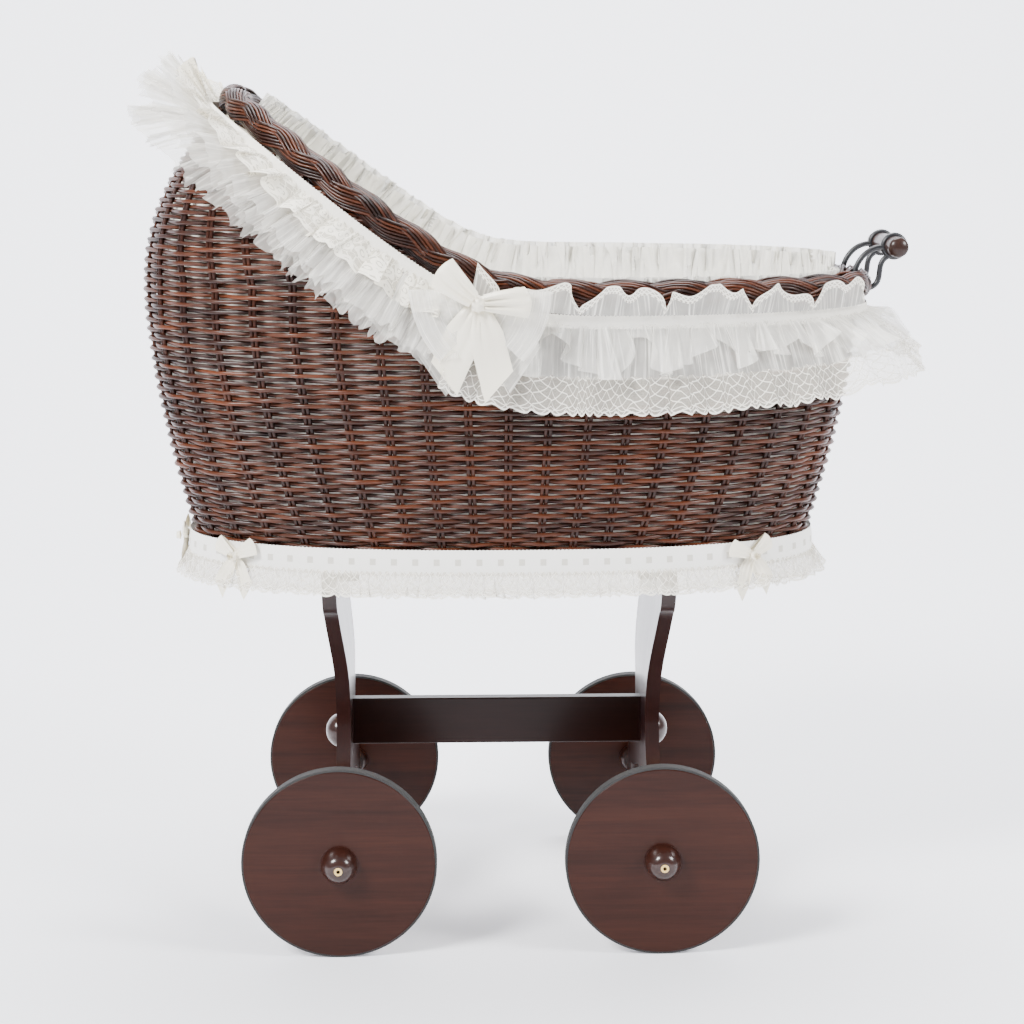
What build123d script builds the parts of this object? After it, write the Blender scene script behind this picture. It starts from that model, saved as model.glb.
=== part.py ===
# Doll's wicker pram: a woven bassinet with lace frills on a turned and sawn wooden carriage.
# Millimetres, +Z up, +X towards the foot end and the push handle, the child's side at -Y.
# The origin is on the floor below the middle of the overall length.
import os
from math import atan2, cos, exp, hypot, log, pi, radians, sin

from build123d import *

os.makedirs("parts", exist_ok=True)

# Carriage
carriage_x = -38.5        # middle of the wheelbase, behind the middle of the overall length
wheelbase = 265.0         # between the axles, along X
wheel_radius = 80.0       # over the tyre
wheel_width = 12.0
wheel_out = 158.0         # outer face of each wheel, from the middle plane
tyre_depth = 1.7          # radial thickness of the rubber band
axle_radius = 3.0
axle_grip = 45.0          # length of axle pin held in the foot
axle_past = 5.0           # axle pin past the wheel's outer face
running_gap = 0.06        # radial clearance of a turning fit
seat_gap = 0.03           # radial clearance of a fixed fit
face_gap = 0.4            # end clearance beside a turning piece
bush_wall = 2.0
cap_radius = 15.0         # turned hub dome
cap_height = 17.0
pocket_radius = 7.5       # hollow under the dome, over the axle's end
pocket_depth = 8.0
eyelet_radius = 2.6       # outside of the brass eyelet's tube
eyelet_bore = 1.5
eyelet_flange = 3.4
eyelet_flange_thick = 0.8
nut_radius = 6.0          # push nut on the axle's end
nut_thick = 1.5
spacer_radius = 13.0      # turned bead between foot and wheel
spacer_neck = 9.0

# End boards, rail and their fixings
board_thick = 12.0
board_bend = 8.0          # the board's top leans outwards by this much
bend_start_z = 200.0
bend_end_z = 292.0
foot_out = 128.0          # outer edge of a foot, from the middle plane
foot_in = 90.0            # inner edge of a foot
foot_drop = 20.0          # wood below the axle
arch_z = 112.0            # top of the arch between the feet
waist_half = 50.0
waist_z = 165.0
board_top_in = 0.5        # top corners of a board inside the floor's outline
foot_turn_in = 16.0       # where the foot's outer edge turns towards the waist
foot_turn_up = 30.0
waist_ease = 12.0         # how far the edge has moved out again below and above the waist
waist_below = 25.0
waist_above = 45.0
top_ease_in = 18.0        # where the edge nears the board's top corner
top_ease_down = 45.0
arch_ease_in = 22.0       # shoulder of the arch
arch_ease_down = 16.0
rail_low_z = 138.0
rail_height = 41.0
rail_thick = 12.0
bolt_radius = 3.0
bolt_z = 149.0
bolt_in_rail = 40.0
bolt_cap_radius = 15.0
bolt_cap_height = 12.0
bolt_head_radius = 5.5
bolt_head_height = 4.0
dowel_radius = 3.0
dowel_z = 169.0
dowel_in_rail = 18.0
dowel_in_board = 8.0
cleat_side = 18.0
cleat_length = 170.0
screw_pitch = 68.0
screw_radius = 1.75
screw_head_radius = 3.5
screw_head_height = 1.5
screw_reach = 9.0

# Basket: floor, rim and hood
base_z = 325.0            # top of the floor board, where the wall starts
base_thick = 6.0
base_lip = 1.5            # floor board past the wall
rim_z = 543.0             # rim level along the foot half
base_head = -296.5        # head and foot ends of the wall at the floor
base_foot = 227.5
rim_head = -336.0         # head and foot ends of the wall at rim level
rim_foot = 270.5
base_width = 250.0
rim_width = 330.0
wall = 8.0                # stakes and weave together
flare_power = 1.6         # how early the wall's flare spends itself on the way up
side_square = 2.4         # 2 would be an ellipse in plan
hood_square = 2.3
hood_height = 155.0       # crest of the hood above the rim
hood_lean = 76.0          # how far the crest leans towards the foot
hood_lean_power = 2.0
knee_x = -53.5            # where the level rim turns up into the hood
knee_soft = 25.0          # length over which it turns
rim_slope = 0.75          # rise of the hood's edge per length
braid_radius = 14.0       # plaited rim
edge_gap = 1.2            # between the plait and what sits under it
heart_back = 100.0        # the rim's cross-sections turn about a point in the basket
heart_up = 17.0
ring_points = 28          # points round each wall section
rim_stations = 19         # stations along each half of the rim
body_levels = (0, 0.25, 0.53, 0.8, 1)         # heights of the wall's sections, as shares
hood_levels = (0.21, 0.43, 0.66, 0.85, 0.95)

# Cloth
lining_thick = 1.2
lining_gap = 0.6
mattress_thick = 36.0
mattress_gap = 3.0
mattress_under = 5.0      # how far the pad's lower and upper edges are rounded in
mattress_over = 7.0
tape_width = 9.5
tape_thick = 1.2
tape_gap = 2.7            # the frills' seam allowance, between the tape and the wall
cloth_gap = 0.7
frill_thin = 1.6          # a gathered frill at its stitching
root_sink = 4.0           # a standing frill starts this much lower than a hanging one
tulle_length = 58.0       # stiff fan of tulle round the hood
tulle_full = 8.0          # depth of its folds at the hem
flounce_length = 29.0     # lace over the tulle
flounce_thin = 1.4
flounce_full = 4.0
organza_length = 44.0     # frill round the foot half
organza_full = 6.0
border_length = 29.0      # netted lace along the organza's hem
border_full = 1.5
header_rise = 24.0        # lace loops standing over the rim
header_thin = 1.5
header_full = 4.0
header_gap = 2.0          # between the plait and what stands beside it
heading_stop = 0.24       # the heading ends short of the handle, as an angle round the rim
ruffle_rise = 3.0         # the lining's ruffle over the top of the plait
ruffle_full = 6.0
ruffle_bend = 7.0         # where it turns up from its stitching
hang_side = 8.0           # angle of the frills off the wall, in degrees
hang_foot = 50.0
hang_crest = 82.0
flare_turn = 4.0          # higher keeps the flare nearer the two ends
shoulder = 8.5            # the hood's shoulders stand out past the plane of its edge
shoulder_angle = 153.0
shoulder_spread = 18.0
skirt_tape_width = 20.0
skirt_tape_top_z = 335.0
skirt_hem_z = 296.0
skirt_flare = 10.0

# Bows
bow_x = -57.0             # big bows, where the two lengths of frill meet
bow_half_length = 50.0
bow_half_height = 21.0
bow_tail = 56.0
bow_depth = 7.5
bow_clear = 13.0          # between the frill's gathers and a bow's back
loop_middle = 0.55        # middle and half-length of a loop, as shares of the bow's half-length
loop_half = 0.45
loop_lift = 0.35          # a loop's middle above the knot, as a share of its height
tail_in = 0.12            # corners of a tail's notched end, as shares of the half-length
tail_notch = 0.32
tail_out = 0.56
notch_depth = 0.14        # as a share of the tail's length
knot_long = 0.25
knot_high = 0.6
small_bow_scale = 0.45
small_bow_depth = 6.0
small_bow_clear = 7.5
small_bow_spots = (-250.0, 165.0)   # along the basket, on both sides
rosette_radius = 4.5
rosette_depth = 3.0
rosette_taper = 25.0

# Push handle
grip_x = 295.5
grip_z = 574.0
grip_radius = 8.5
grip_half = 52.0
eye_y = 28.0              # wire eyes, from the middle plane
eye_neck = 6.6            # grip radius inside the eyes
eye_groove = 5.4
grip_end = 6.0            # rounded ends of the grip
wire_radius = 2.4
back_leg_out = 20.0       # the back leg of each wire runs out from the eye, then down into the rim
back_leg_sink = 14.0
back_leg_up = 6.0         # its end above the rim's line
front_leg_down = 19.0     # the front leg drops nearly straight
front_leg_back = 12.5
front_leg_out = 8.0

axle_z = wheel_radius
board_mid_x = wheelbase / 2
board_top_z = base_z - base_thick
floor_middle = (base_head + base_foot) / 2
board_top_x = max(abs(carriage_x - floor_middle - board_mid_x), abs(carriage_x - floor_middle + board_mid_x))
basket_x = (rim_head + rim_foot) / 2
crest_z = rim_z + hood_height
board_reach = (board_top_x + board_bend + board_thick / 2) / ((base_foot - base_head) / 2)
board_top_half = base_width / 2 * (1 - board_reach ** side_square) ** (1 / side_square) - board_top_in


# ---------------------------------------------------------------- basket form
def rim_height(x):
    """Height of the rim's line above the floor, at x along the basket."""
    return rim_z + rim_slope * knee_soft * log(1 + exp((knee_x - x) / knee_soft))


def rim_place(z):
    """Where the rim's line reaches height z."""
    return knee_x - knee_soft * log(exp((z - rim_z) / (rim_slope * knee_soft)) - 1)


def head_end(z):
    """Head end of the wall's outside at height z."""
    if z > rim_z:
        return rim_head + hood_lean * ((z - rim_z) / hood_height) ** hood_lean_power
    return rim_head + (base_head - rim_head) * (max(rim_z - z, 0) / (rim_z - base_z)) ** flare_power


def foot_end(z):
    return rim_foot + (base_foot - rim_foot) * (max(rim_z - z, 0) / (rim_z - base_z)) ** flare_power


def half_width(z):
    return (rim_width + (base_width - rim_width) * (max(rim_z - z, 0) / (rim_z - base_z)) ** flare_power) / 2


crest_x = rim_place(crest_z)


def rim_half(x, inset):
    """Half-width of the rim's line in plan, over the hood."""
    reach = (basket_x - x) / (basket_x - crest_x - inset)
    return (rim_width / 2 - inset) * max(1 - max(reach, 0) ** hood_square, 0) ** (1 / hood_square)


def polar(angle, length, width, square):
    """Distance to a superellipse from its middle, in one direction."""
    return ((abs(cos(angle)) / length) ** square + (abs(sin(angle)) / width) ** square) ** (-1 / square)


def section(z, grow):
    """Points round the wall at height z, grown outwards or, below zero, inwards."""
    if z > rim_height(basket_x):
        middle = rim_place(z)
        width = rim_half(middle, 0)
        foot = middle - head_end(z)
        square = hood_square
    else:
        middle = basket_x
        width = half_width(z)
        foot = foot_end(z) - middle
        square = side_square
    head = middle - head_end(z)
    points = []
    for k in range(ring_points):
        angle = 2 * pi * k / ring_points
        length = (foot if cos(angle) > 0 else head) + grow
        r = polar(angle, length, width + grow, square)
        points.append((middle + r * cos(angle), r * sin(angle)))
    return points


wall_levels = [base_z + share * (rim_z - base_z) for share in body_levels]
wall_levels += [rim_z + share * hood_height for share in hood_levels]


def ring_sketch(z, grow, form_z=None):
    """A closed face at height z, with the basket's outline at form_z, or at z itself."""
    with BuildSketch(Plane.XY.offset(z)) as face:
        with BuildLine():
            Spline(*section(form_z or z, grow), periodic=True)
        make_face()
    return face.sketch


def rim_point(angle, inset):
    """A point of the rim's line, from the foot (0) by the child's side to the crest (pi)."""
    foot = rim_foot - basket_x - inset
    head = basket_x - crest_x - inset
    toe = cos(angle) > 0
    r = polar(angle, foot if toe else head, rim_width / 2 - inset, side_square if toe else hood_square)
    x = basket_x + r * cos(angle)
    return Vector(x, -r * sin(angle), rim_height(x))


def rim_plane(angle):
    """Plane across the rim: local x points out of the basket, local y up the wall."""
    inset = wall / 2
    place = rim_point(angle, inset)
    along = (rim_point(angle + 0.01, inset) - rim_point(angle - 0.01, inset)).normalized()
    heart = Vector(basket_x - heart_back, 0, rim_z + heart_up)
    out = place - heart
    out = (out - along * out.dot(along)).normalized()
    return Plane(origin=place, x_dir=out, z_dir=along)


def above_rim(drop):
    """Everything above the rim's line lowered by drop, square to the line."""
    line = []
    for x in (330, 200, 80, 20, -20, -60, -100, -160, -220, -270, -310):
        slope = -rim_slope / (1 + exp((x - knee_x) / knee_soft))
        run = hypot(1, slope)
        line.append((x + drop * slope / run, rim_height(x) - drop / run))
    with BuildPart() as block:
        with BuildSketch(Plane.XZ):
            with BuildLine():
                edge = Spline(*line)
                Polyline(edge @ 1, (-480, 860), (480, 860), (480, rim_z - drop), edge @ 0)
            make_face()
        extrude(amount=rim_width, both=True)
    return block.part


def shell(outer_grow, inner_grow, levels, drop):
    """A wall between two skins of the basket's form, cut off below the rim."""
    with BuildPart() as piece:
        loft([ring_sketch(z, outer_grow) for z in levels], ruled=True)
        loft([ring_sketch(z, inner_grow) for z in levels], ruled=True, mode=Mode.SUBTRACT)
        add(above_rim(drop), mode=Mode.SUBTRACT)
    return piece


def save(piece, label):
    piece.part.label = label
    export_step(piece.part, f"parts/{label}.step")


# ---------------------------------------------------------------- carriage
def board_profile():
    """Side view of an end board: straight foot, top bent outwards, both faces parallel."""
    with BuildLine() as outline:
        low = axle_z - foot_drop
        half = board_thick / 2
        a = Line((-half, low), (-half, bend_start_z))
        b = Spline(a @ 1, (-half + board_bend, bend_end_z), tangents=[(0, 1), (0, 1)])
        c = Polyline(b @ 1, (-half + board_bend, board_top_z), (half + board_bend, board_top_z),
                     (half + board_bend, bend_end_z))
        d = Spline(c @ 1, (half, bend_start_z), tangents=[(0, -1), (0, -1)])
        Polyline(d @ 1, (half, low), a @ 0)
    return outline.line


def board_outline():
    """End view of an end board: two feet, a waist and a wide top."""
    low = axle_z - foot_drop
    with BuildLine() as half:
        side = Spline((foot_out, axle_z), (foot_out - foot_turn_in, axle_z + foot_turn_up),
                      (waist_half + waist_ease, waist_z - waist_below), (waist_half, waist_z),
                      (waist_half + waist_ease, waist_z + waist_above),
                      (board_top_half - top_ease_in, board_top_z - top_ease_down),
                      (board_top_half, board_top_z),
                      tangents=[(0, 1), (0.25, 1)])
        Polyline(side @ 1, (0, board_top_z), (0, arch_z))
        arch = Spline((0, arch_z), (foot_in - arch_ease_in, arch_z - arch_ease_down), (foot_in, axle_z),
                      tangents=[(1, 0), (0, -1)])
        toe = (foot_in + foot_out) / 2
        ThreePointArc(arch @ 1, (toe, low), side @ 0)
    return half.line


for end, way in (("head", -1), ("foot", 1)):
    side = Plane(origin=(carriage_x + way * board_mid_x, 0, 0), x_dir=(way, 0, 0), z_dir=(0, -way, 0))
    with BuildPart() as end_board:
        with BuildSketch(side):
            with BuildLine():
                add(board_profile())
            make_face()
        extrude(amount=foot_out + 1, both=True)
        with BuildSketch(Plane.YZ.offset(carriage_x)) as front:
            with BuildLine():
                add(board_outline())
            make_face()
            mirror(about=Plane.YZ)
        extrude(amount=way * (wheelbase / 2 + 60), mode=Mode.INTERSECT)
        along_x = Plane(origin=(carriage_x + way * board_mid_x, 0, 0), z_dir=(way, 0, 0), x_dir=(0, way, 0))
        with BuildSketch(along_x):
            with Locations((0, bolt_z)):
                Circle(bolt_radius + seat_gap)
        extrude(amount=board_thick, both=True, mode=Mode.SUBTRACT)
        with BuildSketch(along_x.offset(-board_thick / 2)):
            with Locations((0, dowel_z)):
                Circle(dowel_radius + seat_gap)
        extrude(amount=dowel_in_board, mode=Mode.SUBTRACT)
        for y_way in (-1, 1):
            with BuildSketch(Plane.XZ.offset(-y_way * (foot_out - axle_grip))):
                with Locations((carriage_x + way * board_mid_x, axle_z)):
                    Circle(axle_radius + seat_gap)
            extrude(amount=-y_way * (axle_grip + 5), mode=Mode.SUBTRACT)
    save(end_board, f"end_board_{end}")

rail_half = board_mid_x - board_thick / 2
rail_mid_z = rail_low_z + rail_height / 2
with BuildPart() as rail:
    with Locations((carriage_x, 0, rail_mid_z)):
        Box(2 * rail_half, rail_thick, rail_height)
    fillet(rail.edges().filter_by(Axis.X), 1.2)
    for way in (-1, 1):
        with BuildSketch(Plane.YZ.offset(carriage_x + way * rail_half)):
            with Locations((0, bolt_z)):
                Circle(bolt_radius + seat_gap)
        extrude(amount=-way * bolt_in_rail, mode=Mode.SUBTRACT)
        with BuildSketch(Plane.YZ.offset(carriage_x + way * rail_half)):
            with Locations((0, dowel_z)):
                Circle(dowel_radius + seat_gap)
        extrude(amount=-way * dowel_in_rail, mode=Mode.SUBTRACT)
save(rail, "stretcher_rail")

board_face = board_mid_x + board_thick / 2
with BuildPart() as bolts:
    for way in (-1, 1):
        with BuildSketch(Plane.YZ.offset(carriage_x + way * (rail_half - bolt_in_rail + 1))):
            with Locations((0, bolt_z)):
                Circle(bolt_radius)
        extrude(amount=way * (bolt_in_rail + board_thick))
        with BuildSketch(Plane.YZ.offset(carriage_x + way * (board_face + 0.1))):
            with Locations((0, bolt_z)):
                Circle(bolt_head_radius)
        extrude(amount=way * bolt_head_height)
save(bolts, "stretcher_bolts")

with BuildPart() as bolt_caps:
    for way in (-1, 1):
        foot = Plane(origin=(carriage_x + way * board_face, 0, bolt_z), x_dir=(0, 1, 0), z_dir=(0, 0, 1))
        with BuildSketch(foot):
            with BuildLine():
                base = Line((bolt_cap_radius, 0), (bolt_head_radius + 0.3, 0))
                side = Line(base @ 1, (bolt_head_radius + 0.3, -way * (bolt_head_height + 0.4)))
                roof = Line(side @ 1, (0, -way * (bolt_head_height + 0.4)))
                rise = Line(roof @ 1, (0, -way * bolt_cap_height))
                Spline(rise @ 1, (bolt_cap_radius * 0.72, -way * bolt_cap_height * 0.66), base @ 0,
                       tangents=[(1, 0), (0.1, way)])
            make_face()
        revolve(axis=Axis((carriage_x, 0, bolt_z), (1, 0, 0)))
save(bolt_caps, "bolt_caps")

with BuildPart() as dowels:
    for way in (-1, 1):
        with BuildSketch(Plane.YZ.offset(carriage_x + way * (rail_half - dowel_in_rail + 1))):
            with Locations((0, dowel_z)):
                Circle(dowel_radius)
        extrude(amount=way * (dowel_in_rail + dowel_in_board - 2))
save(dowels, "rail_dowels")


cleat_x = board_mid_x + board_bend - board_thick / 2 - cleat_side / 2
cleat_low_z = board_top_z - cleat_side
for end, way in (("head", -1), ("foot", 1)):
    with BuildPart() as cleat:
        with Locations((carriage_x + way * cleat_x, 0, board_top_z - cleat_side / 2)):
            Box(cleat_side, cleat_length, cleat_side)
        fillet(cleat.edges().filter_by(Axis.Y).group_by(Axis.Z)[0], 3)
        with BuildSketch(Plane.XY.offset(cleat_low_z)):
            with Locations((carriage_x + way * cleat_x, 0)):
                with GridLocations(1, screw_pitch, 1, 3):
                    Circle(screw_radius + seat_gap)
        extrude(amount=cleat_side, mode=Mode.SUBTRACT)
    save(cleat, f"cleat_{end}")

with BuildPart() as cleat_screws:
    with BuildSketch(Plane.XY.offset(cleat_low_z)):
        with Locations((carriage_x, 0)):
            with GridLocations(2 * cleat_x, screw_pitch, 2, 3):
                Circle(screw_radius)
    extrude(amount=cleat_side + base_thick - 2)
    with BuildSketch(Plane.XY.offset(cleat_low_z)):
        with Locations((carriage_x, 0)):
            with GridLocations(2 * cleat_x, screw_pitch, 2, 3):
                Circle(screw_head_radius)
    extrude(amount=-screw_head_height)
save(cleat_screws, "cleat_screws")


# ---------------------------------------------------------------- wheels
wheel_in = wheel_out - wheel_width
pin_start = foot_out - axle_grip
pin_end = wheel_out + axle_past
head_axle_x = carriage_x - board_mid_x
foot_axle_x = carriage_x + board_mid_x


def side_plane(y, y_way):
    """Plane square to an axle, its local z pointing away from the pram's middle."""
    return Plane(origin=(0, y_way * y, 0), x_dir=(1, 0, 0), z_dir=(0, y_way, 0))


def side_spot(x, y_way):
    """An axle's centre in the local coordinates of side_plane."""
    return (x, -y_way * axle_z)


with BuildPart() as axle_pins:
    for y_way in (-1, 1):
        with BuildSketch(side_plane(pin_start, y_way)):
            with Locations(side_spot(head_axle_x, y_way), side_spot(foot_axle_x, y_way)):
                Circle(axle_radius)
        extrude(amount=pin_end - pin_start)
save(axle_pins, "axle_pins")

with BuildPart() as push_nuts:
    for y_way in (-1, 1):
        with BuildSketch(side_plane(wheel_out + face_gap, y_way)):
            with Locations(side_spot(head_axle_x, y_way), side_spot(foot_axle_x, y_way)):
                Circle(nut_radius)
                Circle(axle_radius + seat_gap, mode=Mode.SUBTRACT)
        extrude(amount=nut_thick)
save(push_nuts, "axle_push_nuts")

spacer_start = foot_out + face_gap
spacer_end = wheel_in - face_gap
with BuildPart() as spacers:
    for x in (carriage_x - board_mid_x, carriage_x + board_mid_x):
        for y_way in (-1, 1):
            middle = y_way * (spacer_start + spacer_end) / 2
            with BuildSketch(Plane(origin=(x, 0, axle_z), x_dir=(0, 0, 1), z_dir=(1, 0, 0))):
                with BuildLine():
                    bore = axle_radius + seat_gap
                    inner = -y_way * spacer_start
                    outer = -y_way * spacer_end
                    a = Line((bore, inner), (spacer_neck, inner))
                    b = ThreePointArc(a @ 1, (spacer_radius, -middle), (spacer_neck, outer))
                    Polyline(b @ 1, (bore, outer), a @ 0)
                make_face()
            revolve(axis=Axis((x, 0, axle_z), (0, 1, 0)))
save(spacers, "wheel_spacers")

rim_wood = wheel_radius - tyre_depth
bush_radius = axle_radius + running_gap + bush_wall
for end, way in (("head", -1), ("foot", 1)):
    for side, y_way in (("near", -1), ("far", 1)):
        spot = side_spot(carriage_x + way * board_mid_x, y_way)
        name = f"{end}_{side}"
        with BuildPart() as disc:
            with BuildSketch(side_plane(wheel_in, y_way)):
                with Locations(spot):
                    Circle(rim_wood)
            extrude(amount=wheel_width)
            fillet(disc.edges().filter_by(GeomType.CIRCLE), 0.8)
            with BuildSketch(side_plane(wheel_in, y_way)):
                with Locations(spot):
                    Circle(bush_radius + seat_gap)
            extrude(amount=wheel_width, mode=Mode.SUBTRACT)
        save(disc, f"wheel_{name}")
        with BuildPart() as tyre:
            with BuildSketch(side_plane(wheel_in + 0.5, y_way)):
                with Locations(spot):
                    Circle(wheel_radius)
                    Circle(rim_wood + seat_gap, mode=Mode.SUBTRACT)
            extrude(amount=wheel_width - 1)
            fillet(tyre.edges().group_by(SortBy.LENGTH)[-1], 0.5)
        save(tyre, f"tyre_{name}")
        with BuildPart() as bush:
            with BuildSketch(side_plane(wheel_in, y_way)):
                with Locations(spot):
                    Circle(bush_radius)
                    Circle(axle_radius + running_gap, mode=Mode.SUBTRACT)
            extrude(amount=wheel_width)
        save(bush, f"hub_bush_{name}")
        x = carriage_x + way * board_mid_x
        with BuildPart() as cap:
            with BuildSketch(Plane(origin=(x, y_way * wheel_out, axle_z), x_dir=(1, 0, 0), z_dir=(0, 0, 1))):
                with BuildLine():
                    hole = eyelet_radius + seat_gap
                    a = Polyline((cap_radius, 0), (pocket_radius, 0), (pocket_radius, y_way * pocket_depth),
                                 (hole, y_way * pocket_depth), (hole, y_way * cap_height))
                    Spline(a @ 1, (cap_radius * 0.8, y_way * cap_height * 0.68), a @ 0,
                           tangents=[(1, 0), (0, -y_way)])
                make_face()
            revolve(axis=Axis((x, 0, axle_z), (0, 1, 0)))
        save(cap, f"hub_cap_{name}")
        with BuildPart() as eyelet:
            with BuildSketch(side_plane(wheel_out + pocket_depth, y_way)):
                with Locations(spot):
                    Circle(eyelet_radius)
                    Circle(eyelet_bore, mode=Mode.SUBTRACT)
            extrude(amount=cap_height - pocket_depth + eyelet_flange_thick)
            with BuildSketch(side_plane(wheel_out + cap_height + 0.02, y_way)):
                with Locations(spot):
                    Circle(eyelet_flange)
                    Circle(eyelet_bore, mode=Mode.SUBTRACT)
            extrude(amount=eyelet_flange_thick)
        save(eyelet, f"hub_eyelet_{name}")


# ---------------------------------------------------------------- basket
with BuildPart() as base_board:
    add(ring_sketch(board_top_z, base_lip, base_z))
    extrude(amount=base_thick)
    with BuildSketch(Plane.XY.offset(board_top_z)):
        with Locations((carriage_x, 0)):
            with GridLocations(2 * cleat_x, screw_pitch, 2, 3):
                Circle(screw_radius + seat_gap)
    extrude(amount=base_thick - 1, mode=Mode.SUBTRACT)
save(base_board, "base_board")

basket_wall = shell(0, -wall, wall_levels, braid_radius + edge_gap)
save(basket_wall, "basket_wall")

with BuildPart() as braid:
    for k in range(rim_stations):
        with BuildSketch(rim_plane(pi * k / (rim_stations - 1))):
            Circle(braid_radius)
    loft()
    mirror(about=Plane.XZ)
save(braid, "braid_rim")

inside = -wall - lining_gap
lining_levels = [base_z + 0.5] + wall_levels[1:]
lining = shell(inside, inside - lining_thick, lining_levels, braid_radius + edge_gap)
save(lining, "lining")

pad = inside - lining_thick - mattress_gap
with BuildPart() as mattress:
    low = base_z + 0.5
    loft([ring_sketch(low, pad - mattress_under), ring_sketch(low + mattress_thick / 3, pad),
          ring_sketch(low + mattress_thick * 3 / 4, pad),
          ring_sketch(low + mattress_thick, pad - mattress_over)])
save(mattress, "mattress")


# ---------------------------------------------------------------- frills and tapes
def hang(angle):
    """Angle between a frill and the wall, going round the rim."""
    end = hang_foot if cos(angle) > 0 else hang_crest
    return radians(hang_side + (end - hang_side) * abs(cos(angle)) ** flare_turn)


def crown(angle):
    """How far the wall below the rim stands out past the plane across the rim."""
    return shoulder * exp(-((angle - radians(shoulder_angle)) / radians(shoulder_spread)) ** 2)


def frill(angle, top, begin, finish, inner, outer):
    """Corners of a frill's section: it leaves the wall at top, from begin to finish along itself."""
    lean = hang(angle)
    along = Vector(sin(lean), -cos(lean))
    over = Vector(cos(lean), sin(lean))
    root = Vector(tape_n + crown(angle), top - root_sink * sin(lean))
    corners = [root + along * begin + over * inner[0], root + along * finish + over * inner[1],
               root + along * finish + over * outer[1], root + along * begin + over * outer[0]]
    return [(corner.X, corner.Y) for corner in corners]


def along_rim(first, last, profile):
    """A strip whose section follows the rim from one angle to another, on both sides."""
    with BuildPart() as strip:
        for k in range(rim_stations):
            angle = first + (last - first) * k / (rim_stations - 1)
            with BuildSketch(rim_plane(angle)):
                Polygon(*profile(angle), align=None)
        loft()
        mirror(about=Plane.XZ)
    return strip


bow_angle = pi / 2 + (basket_x - bow_x) / (rim_width / 2)
tape_top = -braid_radius - edge_gap
tape_low = tape_top - tape_width
frill_top = tape_low - cloth_gap
tape_n = wall / 2 + tape_gap
head_n = braid_radius + header_gap

rim_tape = along_rim(0, pi, lambda angle: [
    (tape_n + crown(angle), tape_top), (tape_n + crown(angle), tape_low),
    (tape_n + crown(angle) + tape_thick, tape_low), (tape_n + crown(angle) + tape_thick, tape_top)])
save(rim_tape, "rim_tape")

hood_tulle = along_rim(bow_angle, pi, lambda angle: frill(
    angle, frill_top, 0, tulle_length, (0, 0), (frill_thin, tulle_full)))
save(hood_tulle, "hood_tulle_frill")

flounce_low = frill_thin + cloth_gap
flounce_out = flounce_low + (tulle_full - frill_thin) * flounce_length / tulle_length
hood_flounce = along_rim(bow_angle, pi, lambda angle: frill(
    angle, frill_top, 0, flounce_length, (flounce_low, flounce_out),
    (flounce_low + flounce_thin, flounce_out + flounce_full)))
save(hood_flounce, "hood_lace_flounce")

foot_frill = along_rim(0, bow_angle, lambda angle: frill(
    angle, frill_top, 0, organza_length, (0, 0), (frill_thin, organza_full)))
save(foot_frill, "foot_organza_frill")

border_start = organza_length + cloth_gap
foot_border = along_rim(0, bow_angle, lambda angle: frill(
    angle, frill_top, border_start, border_start + border_length, (0, 0),
    (organza_full, organza_full + border_full)))
save(foot_border, "foot_lace_border")

foot_header = along_rim(heading_stop, bow_angle, lambda angle: [
    (head_n, tape_top + cloth_gap), (head_n + header_thin, tape_top + cloth_gap),
    (head_n + header_full, tape_top + header_rise), (head_n, tape_top + header_rise)])
save(foot_header, "foot_lace_heading")

ruffle_top = braid_radius + ruffle_rise
lining_frill = along_rim(0, pi, lambda angle: [
    (-head_n + ruffle_rise, tape_low), (-head_n, -ruffle_bend), (-head_n, ruffle_top),
    (-head_n - ruffle_full, ruffle_top), (-head_n - ruffle_full / 2, -ruffle_bend),
    (-head_n + ruffle_rise - frill_thin, tape_low)])
save(lining_frill, "lining_frill")

skirt_root = base_lip + cloth_gap
with BuildPart() as skirt_tape:
    low = skirt_tape_top_z - skirt_tape_width
    levels = [low, skirt_tape_top_z]
    loft([ring_sketch(z, cloth_gap + tape_thick, skirt_tape_top_z) for z in levels])
    loft([ring_sketch(z, cloth_gap, skirt_tape_top_z) for z in levels], mode=Mode.SUBTRACT)
save(skirt_tape, "skirt_tape")

with BuildPart() as skirt_frill:
    top = skirt_tape_top_z - skirt_tape_width - cloth_gap
    mid = (top + skirt_hem_z) / 2
    spread = [(top, 0, frill_thin), (mid, skirt_flare / 3, skirt_flare * 3 / 4),
              (skirt_hem_z, skirt_flare / 2, skirt_flare)]
    loft([ring_sketch(z, skirt_root + outer, base_z) for z, inner, outer in spread])
    loft([ring_sketch(z, skirt_root + inner, base_z) for z, inner, outer in spread], mode=Mode.SUBTRACT)
save(skirt_frill, "skirt_lace_frill")


# ---------------------------------------------------------------- bows
def bow(plane, scale, depth):
    """Two loops, a knot and two notched tails, as one flat solid standing on a plane."""
    loop = bow_half_length * scale
    high = bow_half_height * scale
    tail = bow_tail * scale
    with BuildPart() as whole:
        with BuildSketch(plane):
            for side in (-1, 1):
                with Locations((side * loop * loop_middle, high * loop_lift)):
                    Ellipse(loop * loop_half, high)
                with BuildLine():
                    Polyline((0, 0), (side * loop * tail_in, -tail),
                             (side * loop * tail_notch, -tail * (1 - notch_depth)),
                             (side * loop * tail_out, -tail), (side * loop * knot_long, 0), (0, 0))
                make_face()
            Ellipse(loop * knot_long, high * knot_high)
        extrude(amount=depth)
    return whole


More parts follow.
